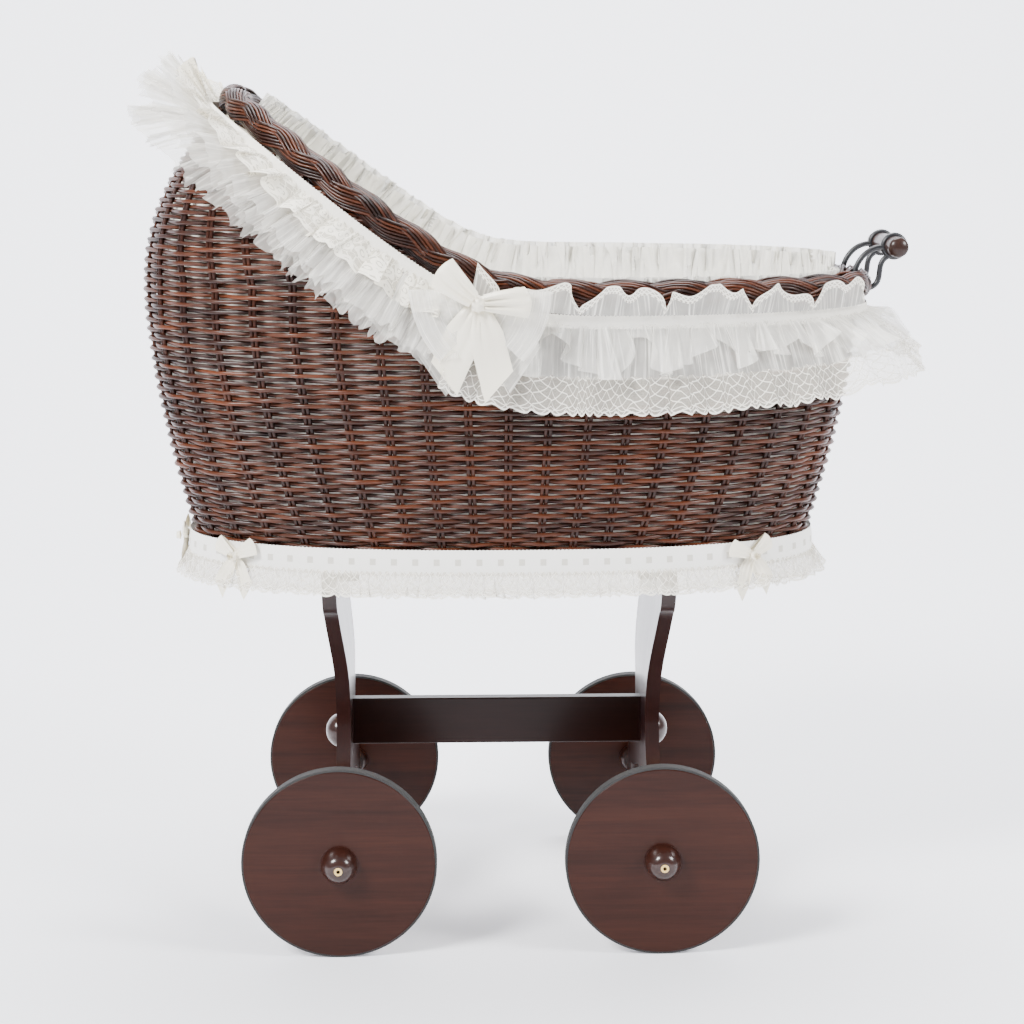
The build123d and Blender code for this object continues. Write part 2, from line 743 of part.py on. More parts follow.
frill_length = border_start + border_length
bow_out = (rim_width - wall) / 2 + tape_n + frill_length * sin(radians(hang_side)) + organza_full + bow_clear
for side, y_way in (("near", -1), ("far", 1)):
    place = Plane(origin=(bow_x, y_way * bow_out, rim_height(bow_x) + tape_top),
                  x_dir=(-y_way, 0, 0), z_dir=(0, y_way, 0))
    big_bow = bow(place, 1, bow_depth)
    save(big_bow, f"bow_{side}")

skirt_out = skirt_root + skirt_flare + small_bow_clear
skirt_mid_z = skirt_tape_top_z - skirt_tape_width / 2


def skirt_plane(angle):
    """Upright plane against the skirt's tape, facing outwards."""
    spots = []
    for turn in (angle - 0.01, angle, angle + 0.01):
        length = (base_foot - base_head) / 2 + skirt_out
        r = polar(turn, length, base_width / 2 + skirt_out, side_square)
        spots.append(Vector(floor_middle + r * cos(turn), r * sin(turn), skirt_mid_z))
    along = (spots[2] - spots[0]).normalized()
    return Plane(origin=spots[1], x_dir=along, z_dir=along.cross(Vector(0, 0, 1)))


small_bow_angles = [pi]
for x in small_bow_spots:
    share = abs((x - floor_middle) / (base_foot - floor_middle))
    y = base_width / 2 * (1 - share ** side_square) ** (1 / side_square)
    small_bow_angles += [atan2(y, x - floor_middle), -atan2(y, x - floor_middle)]
with BuildPart() as small_bows:
    for angle in small_bow_angles:
        add(bow(skirt_plane(angle), small_bow_scale, small_bow_depth).part)
save(small_bows, "skirt_bows")

with BuildPart() as rosettes:
    for angle in small_bow_angles:
        with BuildSketch(skirt_plane(angle).offset(small_bow_depth)):
            Circle(rosette_radius)
        extrude(amount=rosette_depth, taper=rosette_taper)
save(rosettes, "skirt_rosettes")


# ---------------------------------------------------------------- push handle
with BuildPart() as grip:
    with BuildSketch(Plane(origin=(grip_x, 0, grip_z), x_dir=(0, 1, 0), z_dir=(-1, 0, 0))):
        with BuildLine():
            neck_in = eye_y - eye_groove / 2
            neck_out = eye_y + eye_groove / 2
            a = Polyline((0, 0), (0, grip_radius), (neck_in, grip_radius), (neck_in, eye_neck),
                         (neck_out, eye_neck), (neck_out, grip_radius), (grip_half - grip_end, grip_radius))
            b = Spline(a @ 1, (grip_half - 1.2, grip_radius * 0.62), (grip_half, 0),
                       tangents=[(1, 0), (0, -1)])
            Line(b @ 1, a @ 0)
        make_face()
        mirror(about=Plane.YZ)
    revolve(axis=Axis((grip_x, 0, grip_z), (0, 1, 0)))
save(grip, "handle_grip")

rim_foot_x = rim_foot - wall / 2
ring_radius = eye_neck + running_gap + wire_radius
for side, y_way in (("near", -1), ("far", 1)):
    flat = Plane(origin=(0, y_way * eye_y, 0), x_dir=(1, 0, 0), z_dir=(0, -1, 0))
    with BuildPart() as bracket:
        with BuildSketch(Plane.XY.offset(grip_z)):
            with Locations((grip_x + ring_radius, y_way * eye_y)):
                Circle(wire_radius)
        revolve(axis=Axis((grip_x, y_way * eye_y, grip_z), (0, 1, 0)))
        legs = [[(grip_x - ring_radius, grip_z - 1), (grip_x - back_leg_out, grip_z - back_leg_sink / 4),
                 (rim_foot_x - 1, grip_z - back_leg_sink), (rim_foot_x - wall / 2, rim_z + back_leg_up)],
                [(grip_x - wall / 2, grip_z - ring_radius + 1),
                 (grip_x - front_leg_back + 1, grip_z - front_leg_down),
                 (grip_x - front_leg_back, rim_z + wall / 2),
                 (rim_foot_x + front_leg_out, rim_z - wall / 2)]]
        for points in legs:
            with BuildLine(flat) as leg:
                Spline(*points)
            with BuildSketch(Plane(origin=leg.line @ 0, z_dir=leg.line % 0)):
                Circle(wire_radius - 0.05)
            sweep(path=leg.line)
    save(bracket, f"handle_bracket_{side}")
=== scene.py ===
import math

import bmesh
import bpy
import numpy as np
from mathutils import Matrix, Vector


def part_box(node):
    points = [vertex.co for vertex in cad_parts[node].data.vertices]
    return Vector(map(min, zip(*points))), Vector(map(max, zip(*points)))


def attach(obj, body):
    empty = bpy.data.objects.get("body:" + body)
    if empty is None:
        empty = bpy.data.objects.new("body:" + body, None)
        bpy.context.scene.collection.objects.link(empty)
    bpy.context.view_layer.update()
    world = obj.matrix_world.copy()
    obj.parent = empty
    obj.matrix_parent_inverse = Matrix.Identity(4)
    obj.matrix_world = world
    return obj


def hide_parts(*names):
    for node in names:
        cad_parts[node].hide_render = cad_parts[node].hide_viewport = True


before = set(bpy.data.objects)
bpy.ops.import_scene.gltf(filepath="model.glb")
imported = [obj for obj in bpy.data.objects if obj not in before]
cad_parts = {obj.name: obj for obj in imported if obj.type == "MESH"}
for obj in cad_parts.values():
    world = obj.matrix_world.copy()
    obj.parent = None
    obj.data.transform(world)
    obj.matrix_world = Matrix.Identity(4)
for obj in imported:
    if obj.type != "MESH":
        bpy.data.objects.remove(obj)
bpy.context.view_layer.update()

# ---------------------------------------------------------------- studio
# A pale paper sweep under and behind the pram, lit by two large soft boxes, a bright room and a
# painted glow of its own that grows towards the back. The camera stands at the child's side, a little above
# the rim.
bpy.context.scene.world = bpy.data.worlds.new("studio_air")
air = bpy.context.scene.world
air.use_nodes = True
air.node_tree.nodes["Background"].inputs["Color"].default_value = (0.86, 0.88, 0.95, 1)
air.node_tree.nodes["Background"].inputs["Strength"].default_value = 0.55


def area_light(name, place, target, size, power):
    light = bpy.data.lights.new(name, "AREA")
    light.shape, light.size, light.energy = "SQUARE", size, power
    lamp = bpy.data.objects.new(name, light)
    lamp.location = place
    lamp.rotation_euler = (Vector(target) - Vector(place)).to_track_quat("-Z", "Y").to_euler()
    bpy.context.scene.collection.objects.link(lamp)


area_light("left_softbox", (-1.7, -1.5, 2.1), (0, 0, 0.35), 0.8, 165)
area_light("right_softbox", (2.0, -1.0, 1.6), (0, 0, 0.35), 0.7, 75)
area_light("top_softbox", (0.1, 0.6, 2.4), (0, 0, 0.3), 1.2, 80)

sweep_curve = [(y, 0.0) for y in np.linspace(-4.0, 1.2, 8)]
sweep_curve += [(1.2 + 1.2 * math.sin(a),
                 1.2 - 1.2 * math.cos(a)) for a in np.linspace(0.1, math.pi / 2, 14)]
sweep_curve += [(2.4, 3.6)]
sweep_mesh = bpy.data.meshes.new("paper_sweep")
sweep_mesh.from_pydata([(x, y, z) for x in (-5, 5) for y, z in sweep_curve], [],
                       [(i, i + 1, i + 1 + len(sweep_curve), i + len(sweep_curve))
                        for i in range(len(sweep_curve) - 1)])
sweep_mesh.polygons.foreach_set("use_smooth", [True] * len(sweep_mesh.polygons))
paper = bpy.data.objects.new("paper_sweep", sweep_mesh)
bpy.context.scene.collection.objects.link(paper)
paper_finish = bpy.data.materials.new("matt_paper_painted_glow")
paper_finish.use_nodes = True
paper_shader = paper_finish.node_tree.nodes["Principled BSDF"]
paper_shader.inputs["Base Color"].default_value = (0.87, 0.875, 0.91, 1)
paper_shader.inputs["Roughness"].default_value = 0.7
# Painted light: the paper glows by itself, faintly under the pram and brighter towards the back of the
# sweep.
paper_shader.inputs["Emission Color"].default_value = (0.93, 0.94, 1.0, 1)
paper_place = paper_finish.node_tree.nodes.new("ShaderNodeTexCoord")
paper_parts = paper_finish.node_tree.nodes.new("ShaderNodeSeparateXYZ")
paper_painted_glow = paper_finish.node_tree.nodes.new("ShaderNodeMapRange")
for label, value in (("From Min", 0.0), ("From Max", 2.2), ("To Min", 0.30), ("To Max", 1.7)):
    paper_painted_glow.inputs[label].default_value = value
paper_finish.node_tree.links.new(paper_place.outputs["Object"], paper_parts.inputs[0])
paper_finish.node_tree.links.new(paper_parts.outputs[1], paper_painted_glow.inputs["Value"])
paper_finish.node_tree.links.new(paper_painted_glow.outputs[0], paper_shader.inputs["Emission Strength"])
paper.data.materials.append(paper_finish)

pins_low, pins_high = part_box("axle_pins")
carriage_x = (pins_low.x + pins_high.x) / 2
lens = bpy.data.cameras.new("camera")
lens.sensor_width, lens.lens = 36, 77.3
camera = bpy.data.objects.new("camera", lens)
camera.location = (carriage_x - 0.042, -1.877, 0.682)
camera.rotation_euler = (math.radians(90 - 10.22), 0, math.radians(-1.69))
bpy.context.scene.collection.objects.link(camera)
bpy.context.scene.camera = camera

# ---------------------------------------------------------------- end boards and rail
# Two boards bent and sawn from one plank each, joined by a plain rail. The wood
# is stained dark mahogany and sprayed with lacquer; the grain runs along each piece.


def add_node(tree, kind, values=(), **settings):
    node = tree.nodes.new(kind)
    for key, value in settings.items():
        setattr(node, key, value)
    for socket, value in values:
        node.inputs[socket].default_value = value
    return node


def node_group(name, sockets):
    """An empty shader group with the named inputs, and its input and output nodes."""
    group = bpy.data.node_groups.new(name, "ShaderNodeTree")
    for way, kind, label, value in sockets:
        socket = group.interface.new_socket(name=label, in_out=way, socket_type="NodeSocket" + kind)
        if value is not None:
            socket.default_value = value
    return group, group.nodes.new("NodeGroupInput"), group.nodes.new("NodeGroupOutput")


# Grain: long fibres and soft growth rings along local X, as colour, gloss and relief.
grain, grain_in, grain_out = node_group("wood_grain", [
    ("INPUT", "Vector", "Place", None),
    ("INPUT", "Color", "Light Wood", (0.2, 0.07, 0.04, 1)),
    ("INPUT", "Color", "Dark Wood", (0.05, 0.015, 0.01, 1)),
    ("INPUT", "Float", "Ring Scale", 60.0),
    ("INPUT", "Float", "Contrast", 1.0),
    ("OUTPUT", "Color", "Color", None),
    ("OUTPUT", "Float", "Roughness", None),
    ("OUTPUT", "Float", "Height", None)])
stretch = add_node(grain, "ShaderNodeVectorMath", [(1, (0.045, 1, 1))], operation="MULTIPLY")
fibres = add_node(grain, "ShaderNodeTexNoise", [("Scale", 420.0), ("Detail", 4.0), ("Roughness", 0.65)])
rings = add_node(grain, "ShaderNodeTexNoise", [("Detail", 1.5), ("Roughness", 0.4), ("Distortion", 0.4)])
cloudy = add_node(grain, "ShaderNodeTexNoise", [("Scale", 14.0), ("Detail", 2.0)])
ring_share = add_node(grain, "ShaderNodeMath", [(1, 0.55)], operation="MULTIPLY")
fibre_share = add_node(grain, "ShaderNodeMath", [(1, 0.6)], operation="MULTIPLY")
both = add_node(grain, "ShaderNodeMath", operation="ADD")
cloud_share = add_node(grain, "ShaderNodeMath", [(1, 0.5)], operation="MULTIPLY")
total = add_node(grain, "ShaderNodeMath", operation="ADD")
centred = add_node(grain, "ShaderNodeMath", [(1, 0.82)], operation="SUBTRACT")
scaled = add_node(grain, "ShaderNodeMath", operation="MULTIPLY")
lifted = add_node(grain, "ShaderNodeMath", [(1, 0.5)], operation="ADD", use_clamp=True)
stain = add_node(grain, "ShaderNodeMix", data_type="RGBA")
gloss = add_node(grain, "ShaderNodeMapRange", [("To Min", 0.42), ("To Max", 0.28)])
for a, b in [(grain_in.outputs["Place"], stretch.inputs[0]), (stretch.outputs[0], fibres.inputs["Vector"]),
             (stretch.outputs[0], rings.inputs["Vector"]), (stretch.outputs[0], cloudy.inputs["Vector"]),
             (grain_in.outputs["Ring Scale"], rings.inputs["Scale"]),
             (rings.outputs["Fac"], ring_share.inputs[0]), (fibres.outputs["Fac"], fibre_share.inputs[0]),
             (ring_share.outputs[0], both.inputs[0]), (fibre_share.outputs[0], both.inputs[1]),
             (cloudy.outputs["Fac"], cloud_share.inputs[0]), (both.outputs[0], total.inputs[0]),
             (cloud_share.outputs[0], total.inputs[1]), (total.outputs[0], centred.inputs[0]),
             (centred.outputs[0], scaled.inputs[0]), (grain_in.outputs["Contrast"], scaled.inputs[1]),
             (scaled.outputs[0], lifted.inputs[0]), (lifted.outputs[0], stain.inputs[0]),
             (grain_in.outputs["Dark Wood"], stain.inputs[6]),
             (grain_in.outputs["Light Wood"], stain.inputs[7]),
             (lifted.outputs[0], gloss.inputs["Value"]), (stain.outputs[2], grain_out.inputs["Color"]),
             (gloss.outputs[0], grain_out.inputs["Roughness"]),
             (lifted.outputs[0], grain_out.inputs["Height"])]:
    grain.links.new(a, b)


def shaded(name, coat=0.0, coat_roughness=0.2, **plain):
    """A new material with a Principled shader, its constant values set on its own sockets."""
    finish = bpy.data.materials.new(name)
    finish.use_nodes = True
    shader = finish.node_tree.nodes["Principled BSDF"]
    shader.inputs["Coat Weight"].default_value = coat
    shader.inputs["Coat Roughness"].default_value = coat_roughness
    for key, value in plain.items():
        shader.inputs[key.replace("_", " ")].default_value = value
    return finish, shader


def wooden(name, light, dark, turn=(0, 0, 0), ring_scale=60.0, contrast=1.0, coat=0.6, relief=0.12):
    """Stained and lacquered wood with its grain along X, or turned to run another way."""
    finish, shader = shaded(name, coat, 0.18, Specular_IOR_Level=0.15)
    tree = finish.node_tree
    place = tree.nodes.new("ShaderNodeTexCoord")
    aim = add_node(tree, "ShaderNodeMapping", [("Rotation", turn)])
    wood = add_node(tree, "ShaderNodeGroup", node_tree=grain)
    wood.inputs["Light Wood"].default_value = (*light, 1)
    wood.inputs["Dark Wood"].default_value = (*dark, 1)
    wood.inputs["Ring Scale"].default_value = ring_scale
    wood.inputs["Contrast"].default_value = contrast
    bump = add_node(tree, "ShaderNodeBump", [("Strength", relief), ("Distance", 0.0006)])
    for a, b in [(place.outputs["Object"], aim.inputs["Vector"]), (aim.outputs[0], wood.inputs["Place"]),
                 (wood.outputs["Color"], shader.inputs["Base Color"]),
                 (wood.outputs["Roughness"], shader.inputs["Roughness"]),
                 (wood.outputs["Height"], bump.inputs["Height"]),
                 (bump.outputs[0], shader.inputs["Normal"])]:
        tree.links.new(a, b)
    return finish


def dress(names, finish):
    """Gives CAD pieces their finish."""
    for name in names:
        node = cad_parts[name]
        node.data.materials.clear()
        node.data.materials.append(finish)


upright_grain = (0, math.radians(90), 0)
board_wood = wooden("board_mahogany", (0.026, 0.007, 0.005), (0.008, 0.0025, 0.002), upright_grain, coat=0.5)
rail_wood = wooden("rail_mahogany", (0.020, 0.005, 0.003), (0.006, 0.0018, 0.0012), ring_scale=60.0,
                   coat=0.10)
dress(["end_board_head", "end_board_foot"], board_wood)
dress(["stretcher_rail", "cleat_head", "cleat_foot"], rail_wood)
turned_wood = wooden("turned_mahogany", (0.035, 0.010, 0.006), (0.010, 0.003, 0.002), ring_scale=120.0,
                     coat=0.8)
dress(["bolt_caps", "wheel_spacers"], turned_wood)
birch = wooden("plain_birch", (0.66, 0.5, 0.33), (0.48, 0.33, 0.2), coat=0.0, contrast=0.7)
dress(["base_board", "rail_dowels"], birch)

# ---------------------------------------------------------------- wheels and hubs
# Solid plank wheels, satin lacquered with the grain level, a thin black rubber
# band on the edge, and a turned dome over the axle's end with a brass eyelet in it.
wheel_wood = wooden("wheel_mahogany", (0.040, 0.0105, 0.0055), (0.011, 0.003, 0.002), ring_scale=75.0,
                    contrast=1.5, coat=0.06)
rubber, rubber_shader = shaded("black_rubber", Base_Color=(0.018, 0.018, 0.018, 1), Roughness=0.75)
rubber_place = rubber.node_tree.nodes.new("ShaderNodeTexCoord")
rubber_skin = add_node(rubber.node_tree, "ShaderNodeTexNoise", [("Scale", 900.0), ("Detail", 3.0)])
rubber_bump = add_node(rubber.node_tree, "ShaderNodeBump", [("Strength", 0.3), ("Distance", 0.0003)])
rubber.node_tree.links.new(rubber_place.outputs["Object"], rubber_skin.inputs["Vector"])
rubber.node_tree.links.new(rubber_skin.outputs["Fac"], rubber_bump.inputs["Height"])
rubber.node_tree.links.new(rubber_bump.outputs[0], rubber_shader.inputs["Normal"])


def metal(name, color, roughness, metallic=1.0, mottle=0.12):
    """Metal whose gloss is slightly uneven from handling."""
    finish, shader = shaded(name, Base_Color=(*color, 1), Metallic=metallic)
    tree = finish.node_tree
    place = tree.nodes.new("ShaderNodeTexCoord")
    smears = add_node(tree, "ShaderNodeTexNoise", [("Scale", 120.0), ("Detail", 4.0)])
    span = add_node(tree, "ShaderNodeMapRange",
                    [("To Min", roughness - mottle), ("To Max", roughness + mottle)])
    tree.links.new(place.outputs["Object"], smears.inputs["Vector"])
    tree.links.new(smears.outputs["Fac"], span.inputs["Value"])
    tree.links.new(span.outputs[0], shader.inputs["Roughness"])
    return finish


brass = metal("dulled_brass", (0.72, 0.50, 0.20), 0.32)
steel = metal("zinc_steel", (0.62, 0.62, 0.60), 0.38)
for corner in ("head_near", "head_far", "foot_near", "foot_far"):
    dress(["wheel_" + corner], wheel_wood)
    dress(["tyre_" + corner], rubber)
    dress(["hub_cap_" + corner], turned_wood)
    dress(["hub_bush_" + corner, "hub_eyelet_" + corner], brass)
dress(["axle_pins", "axle_push_nuts", "stretcher_bolts", "cleat_screws"], steel)

# ---------------------------------------------------------------- push handle
# A short turned grip of dark wood that rolls in the eyes of two bent steel
# wires, enamelled black, whose legs are pushed into the plaited rim.
grip_wood = wooden("grip_mahogany", (0.040, 0.018, 0.013), (0.012, 0.006, 0.005), (0, 0, math.radians(90)),
                   ring_scale=150.0, coat=0.25)
enamel = metal("black_enamel", (0.016, 0.016, 0.018), 0.38, metallic=0.0)
dress(["handle_grip"], grip_wood)
dress(["handle_bracket_near", "handle_bracket_far"], enamel)

# ---------------------------------------------------------------- basket form
# The woven wall swells from an oval floor to a level rim, and runs on at the
# head into a hood cut off on a slant. These sizes are the CAD wall's own.
wall_low, wall_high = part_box("basket_wall")
floor_low, floor_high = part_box("base_board")
floor_lip = 0.0015
base_z, rim_z = wall_low.z, 0.543
rim_head, rim_foot, rim_width = wall_low.x, wall_high.x, 0.165
base_head, base_foot, base_width = floor_low.x + floor_lip, floor_high.x - floor_lip, 0.125
hood_height, hood_lean = 0.155, 0.076
side_square, hood_square, flare_power = 2.4, 2.3, 1.6
knee_x, knee_soft, rim_slope = -0.0535, 0.025, 0.75
wall_thick = 0.008
basket_x = (rim_head + rim_foot) / 2


def rim_height(x):
    """Height of the rim's line at x along the basket."""
    return rim_z + rim_slope * knee_soft * np.log1p(np.exp((knee_x - x) / knee_soft))


def rim_place(z):
    """Where the rim's line reaches height z."""
    return knee_x - knee_soft * np.log(np.expm1((z - rim_z) / (rim_slope * knee_soft)))


def flare(z):
    return (np.clip(rim_z - z, 0, None) / (rim_z - base_z)) ** flare_power


crest_z = rim_z + hood_height
crest_x = float(rim_place(crest_z))


def wall_point(angle, z, inset=0.0):
    """Points of the wall's outside, moved in by inset, seen from the basket's middle at each angle."""
    angle, z = np.broadcast_arrays(np.asarray(angle, float), np.asarray(z, float))
    hood = z > float(rim_height(basket_x))
    middle = np.where(hood, rim_place(np.clip(z, rim_z + 1e-4, crest_z)), basket_x)
    reach = np.clip((basket_x - middle) / (basket_x - crest_x), 0, 1)
    over = rim_width * (1 - reach ** hood_square) ** (1 / hood_square)
    width = np.where(hood, over, rim_width + (base_width - rim_width) * flare(z)) - inset
    lean = hood_lean * (np.clip(z - rim_z, 0, None) / hood_height) ** 2
    head = middle - (rim_head + lean + (base_head - rim_head) * flare(z)) - inset
    foot = rim_foot + (base_foot - rim_foot) * flare(z) - middle - inset
    blend = np.clip((z - rim_z) / 0.07 + 0.6, 0, 1)
    head_square = side_square + (hood_square - side_square) * blend * blend * (3 - 2 * blend)
    near, far = np.zeros(angle.shape), np.full(angle.shape, 0.5)
    for _ in range(40):
        r = (near + far) / 2
        x = basket_x + r * np.cos(angle) - middle
        length = np.where(x > 0, np.where(hood, 1e3, foot), np.maximum(head, 1e-3))
        square = np.where(x > 0, side_square, head_square)
        across = abs(r * np.sin(angle)) / np.maximum(width, 1e-3)
        outside = (abs(x) / length) ** square + across ** square > 1
        far = np.where(outside, r, far)
        near = np.where(outside, near, r)
    return np.stack([basket_x + r * np.cos(angle), -r * np.sin(angle), z], -1)


def rim_point(angle, inset):
    """Points of the rim's line, from the foot (0) by the child's side to the crest (pi) and back."""
    toe = np.cos(angle) > 0
    length = np.where(toe, rim_foot - basket_x, basket_x - crest_x) - inset
    square = np.where(toe, side_square, hood_square)
    r = ((abs(np.cos(angle)) / length) ** square
         + (abs(np.sin(angle)) / (rim_width - inset)) ** square) ** (-1 / square)
    x = basket_x + r * np.cos(angle)
    return np.stack([x, -r * np.sin(angle), rim_height(x)], -1)


def unit(v):
    return v / np.linalg.norm(v, axis=-1, keepdims=True)


def rim_frame(angle):
    """Place, outward, upward and forward directions across the rim at each angle."""
    angle = np.asarray(angle, float)
    place = rim_point(angle, wall_thick / 2)
    along = unit(rim_point(angle + 0.01, wall_thick / 2) - rim_point(angle - 0.01, wall_thick / 2))
    out = place - np.array([basket_x - 0.1, 0, rim_z + 0.017])
    out = unit(out - along * (out * along).sum(-1, keepdims=True))
    return place, out, np.cross(along, out), along


# ---------------------------------------------------------------- woven wall
# Plain weave: upright willow stakes with single rods passing in front of one and
# behind the next, each row opposite to the row below, all stained and varnished.
row_pitch = 0.0041
rod_radius = 0.0019
weave_depth = 0.0030
stake_count = 44
samples_per_stake = 6
braid_radius = 0.014


def willow(name):
    """Varnished willow: each rod has its own tone, with bark flecks along it."""
    finish, shader = shaded(name, 0.16, 0.12, Specular_IOR_Level=0.22)
    tree = finish.node_tree
    place = tree.nodes.new("ShaderNodeTexCoord")
    tone = add_node(tree, "ShaderNodeAttribute", attribute_name="tone")
    long_way = add_node(tree, "ShaderNodeMapping", [("Scale", (0.25, 0.25, 1))])
    flecks = add_node(tree, "ShaderNodeTexNoise", [("Scale", 350.0), ("Detail", 4.0), ("Roughness", 0.7)])
    patches = add_node(tree, "ShaderNodeTexNoise", [("Scale", 22.0), ("Detail", 3.0)])
    mixed = add_node(tree, "ShaderNodeMath", operation="ADD")
    summed = add_node(tree, "ShaderNodeMath", operation="ADD")
    third = add_node(tree, "ShaderNodeMath", [(1, 0.37)], operation="MULTIPLY")
    stain_ramp = add_node(tree, "ShaderNodeValToRGB")
    ramp = stain_ramp.color_ramp
    ramp.elements[0].position, ramp.elements[0].color = 0.30, (0.006, 0.002, 0.0015, 1)
    ramp.elements[1].position, ramp.elements[1].color = 0.86, (0.125, 0.031, 0.009, 1)
    middle = ramp.elements.new(0.52)
    middle.color = (0.027, 0.0070, 0.0032, 1)
    dull = add_node(tree, "ShaderNodeMapRange", [("To Min", 0.28), ("To Max", 0.5)])
    bump = add_node(tree, "ShaderNodeBump", [("Strength", 0.25), ("Distance", 0.0005)])
    for a, b in [(place.outputs["Object"], long_way.inputs["Vector"]),
                 (long_way.outputs[0], flecks.inputs["Vector"]),
                 (place.outputs["Object"], patches.inputs["Vector"]),
                 (flecks.outputs["Fac"], mixed.inputs[0]),
                 (patches.outputs["Fac"], mixed.inputs[1]), (mixed.outputs[0], summed.inputs[0]),
                 (tone.outputs["Fac"], summed.inputs[1]), (summed.outputs[0], third.inputs[0]),
                 (third.outputs[0], stain_ramp.inputs[0]),
                 (stain_ramp.outputs["Color"], shader.inputs["Base Color"]),
                 (flecks.outputs["Fac"], dull.inputs["Value"]),
                 (dull.outputs[0], shader.inputs["Roughness"]),
                 (flecks.outputs["Fac"], bump.inputs["Height"]), (bump.outputs[0], shader.inputs["Normal"])]:
        tree.links.new(a, b)
    return finish


willow_finish = willow("stained_willow")

# The rod tree turns guide lines into willow rods. Each guide point says how far it
# is pushed out (weave) and in which direction (outward), and how thick the rod is.
rods = bpy.data.node_groups.new("willow_rods", "GeometryNodeTree")
for way, kind, label, value in [("INPUT", "Geometry", "Guides", None),
                                ("INPUT", "Float", "Rod Radius", rod_radius),
                                ("INPUT", "Float", "Weave Depth", weave_depth), ("INPUT", "Int", "Sides", 6),
                                ("INPUT", "Float", "Wander", 0.0004), ("INPUT", "Int", "Seed", 7),
                                ("INPUT", "Material", "Finish", None), ("OUTPUT", "Geometry", "Rods", None)]:
    rod_socket = rods.interface.new_socket(name=label, in_out=way, socket_type="NodeSocket" + kind)
    if value is not None:
        rod_socket.default_value = value
rods_in, rods_out = rods.nodes.new("NodeGroupInput"), rods.nodes.new("NodeGroupOutput")
weave = add_node(rods, "GeometryNodeInputNamedAttribute", [("Name", "weave")], data_type="FLOAT")
outward = add_node(rods, "GeometryNodeInputNamedAttribute", [("Name", "outward")], data_type="FLOAT_VECTOR")
girth = add_node(rods, "GeometryNodeInputNamedAttribute", [("Name", "girth")], data_type="FLOAT")
push = add_node(rods, "ShaderNodeMath", operation="MULTIPLY")
shift = add_node(rods, "ShaderNodeVectorMath", operation="SCALE")
wobble = add_node(rods, "FunctionNodeRandomValue", data_type="FLOAT_VECTOR")
low_wobble = add_node(rods, "ShaderNodeMath", [(1, -1.0)], operation="MULTIPLY")
both_shifts = add_node(rods, "ShaderNodeVectorMath", operation="ADD")
move = rods.nodes.new("GeometryNodeSetPosition")
lines = rods.nodes.new("GeometryNodeMeshToCurve")
thick = add_node(rods, "ShaderNodeMath", operation="MULTIPLY")
ring = rods.nodes.new("GeometryNodeCurvePrimitiveCircle")
tube = add_node(rods, "GeometryNodeCurveToMesh", [("Fill Caps", True)])
soft = rods.nodes.new("GeometryNodeSetShadeSmooth")
real = rods.nodes.new("GeometryNodeRealizeInstances")
paint = rods.nodes.new("GeometryNodeSetMaterial")
for a, b in [(weave.outputs[0], push.inputs[0]), (rods_in.outputs["Weave Depth"], push.inputs[1]),
             (outward.outputs[0], shift.inputs[0]), (push.outputs[0], shift.inputs["Scale"]),
             (rods_in.outputs["Wander"], low_wobble.inputs[0]), (low_wobble.outputs[0], wobble.inputs[0]),
             (rods_in.outputs["Wander"], wobble.inputs[1]), (rods_in.outputs["Seed"], wobble.inputs["Seed"]),
             (shift.outputs[0], both_shifts.inputs[0]), (wobble.outputs[0], both_shifts.inputs[1]),
             (rods_in.outputs["Guides"], move.inputs["Geometry"]),
             (both_shifts.outputs[0], move.inputs["Offset"]),
             (move.outputs[0], lines.inputs[0]), (girth.outputs[0], thick.inputs[0]),
             (rods_in.outputs["Rod Radius"], thick.inputs[1]), (lines.outputs[0], tube.inputs["Curve"]),
             (thick.outputs[0], tube.inputs["Scale"]), (rods_in.outputs["Sides"], ring.inputs["Resolution"]),
             (ring.outputs[0], tube.inputs["Profile Curve"]),
             (tube.outputs[0], soft.inputs["Geometry"]), (soft.outputs[0], real.inputs[0]),
             (real.outputs[0], paint.inputs["Geometry"]),
             (rods_in.outputs["Finish"], paint.inputs["Material"]),
             (paint.outputs[0], rods_out.inputs[0])]:
    rods.links.new(a, b)
ring.inputs["Radius"].default_value = 1.0


def make_rods(name, guides, finish, **sizes):
    """Runs the rod tree on guide lines: each is points, outward, weave, girth, tone and closed."""
    points, edges, outs, weaves, girths, tones = [], [], [], [], [], []
    for line in guides:
        first, count = len(points), len(line["points"])
        points += [tuple(p) for p in line["points"]]
        edges += [(first + i, first + i + 1) for i in range(count - 1)]
        if line.get("closed"):
            edges.append((first + count - 1, first))
        outs += [tuple(o) for o in line["outward"]]
        weaves += list(np.broadcast_to(line["weave"], count))
        girths += list(np.broadcast_to(line["girth"], count))
        tones += list(np.broadcast_to(line["tone"], count))
    mesh = bpy.data.meshes.new(name + "_guides")
    mesh.from_pydata(points, edges, [])
    for label, kind, values in [("weave", "FLOAT", weaves), ("girth", "FLOAT", girths),
                                ("tone", "FLOAT", tones)]:
        mesh.attributes.new(label, kind, "POINT").data.foreach_set("value", np.array(values, np.float32))
    mesh.attributes.new("outward", "FLOAT_VECTOR", "POINT").data.foreach_set(
        "vector", np.array(outs, np.float32).ravel())
    guide = bpy.data.objects.new(name + "_guides", mesh)
    bpy.context.scene.collection.objects.link(guide)
    modifier = guide.modifiers.new("rods", "NODES")
    modifier.node_group = rods
    for item in rods.interface.items_tree:
        if item.in_out == "INPUT" and item.name in sizes:
            modifier[item.identifier] = sizes[item.name]
        if item.in_out == "INPUT" and item.name == "Finish":
            modifier[item.identifier] = finish
    bpy.context.view_layer.update()
    made = bpy.data.meshes.new_from_object(guide.evaluated_get(bpy.context.evaluated_depsgraph_get()))
    bpy.data.objects.remove(guide)
    made.name = name
    piece = bpy.data.objects.new(name, made)
    bpy.context.scene.collection.objects.link(piece)
    return piece


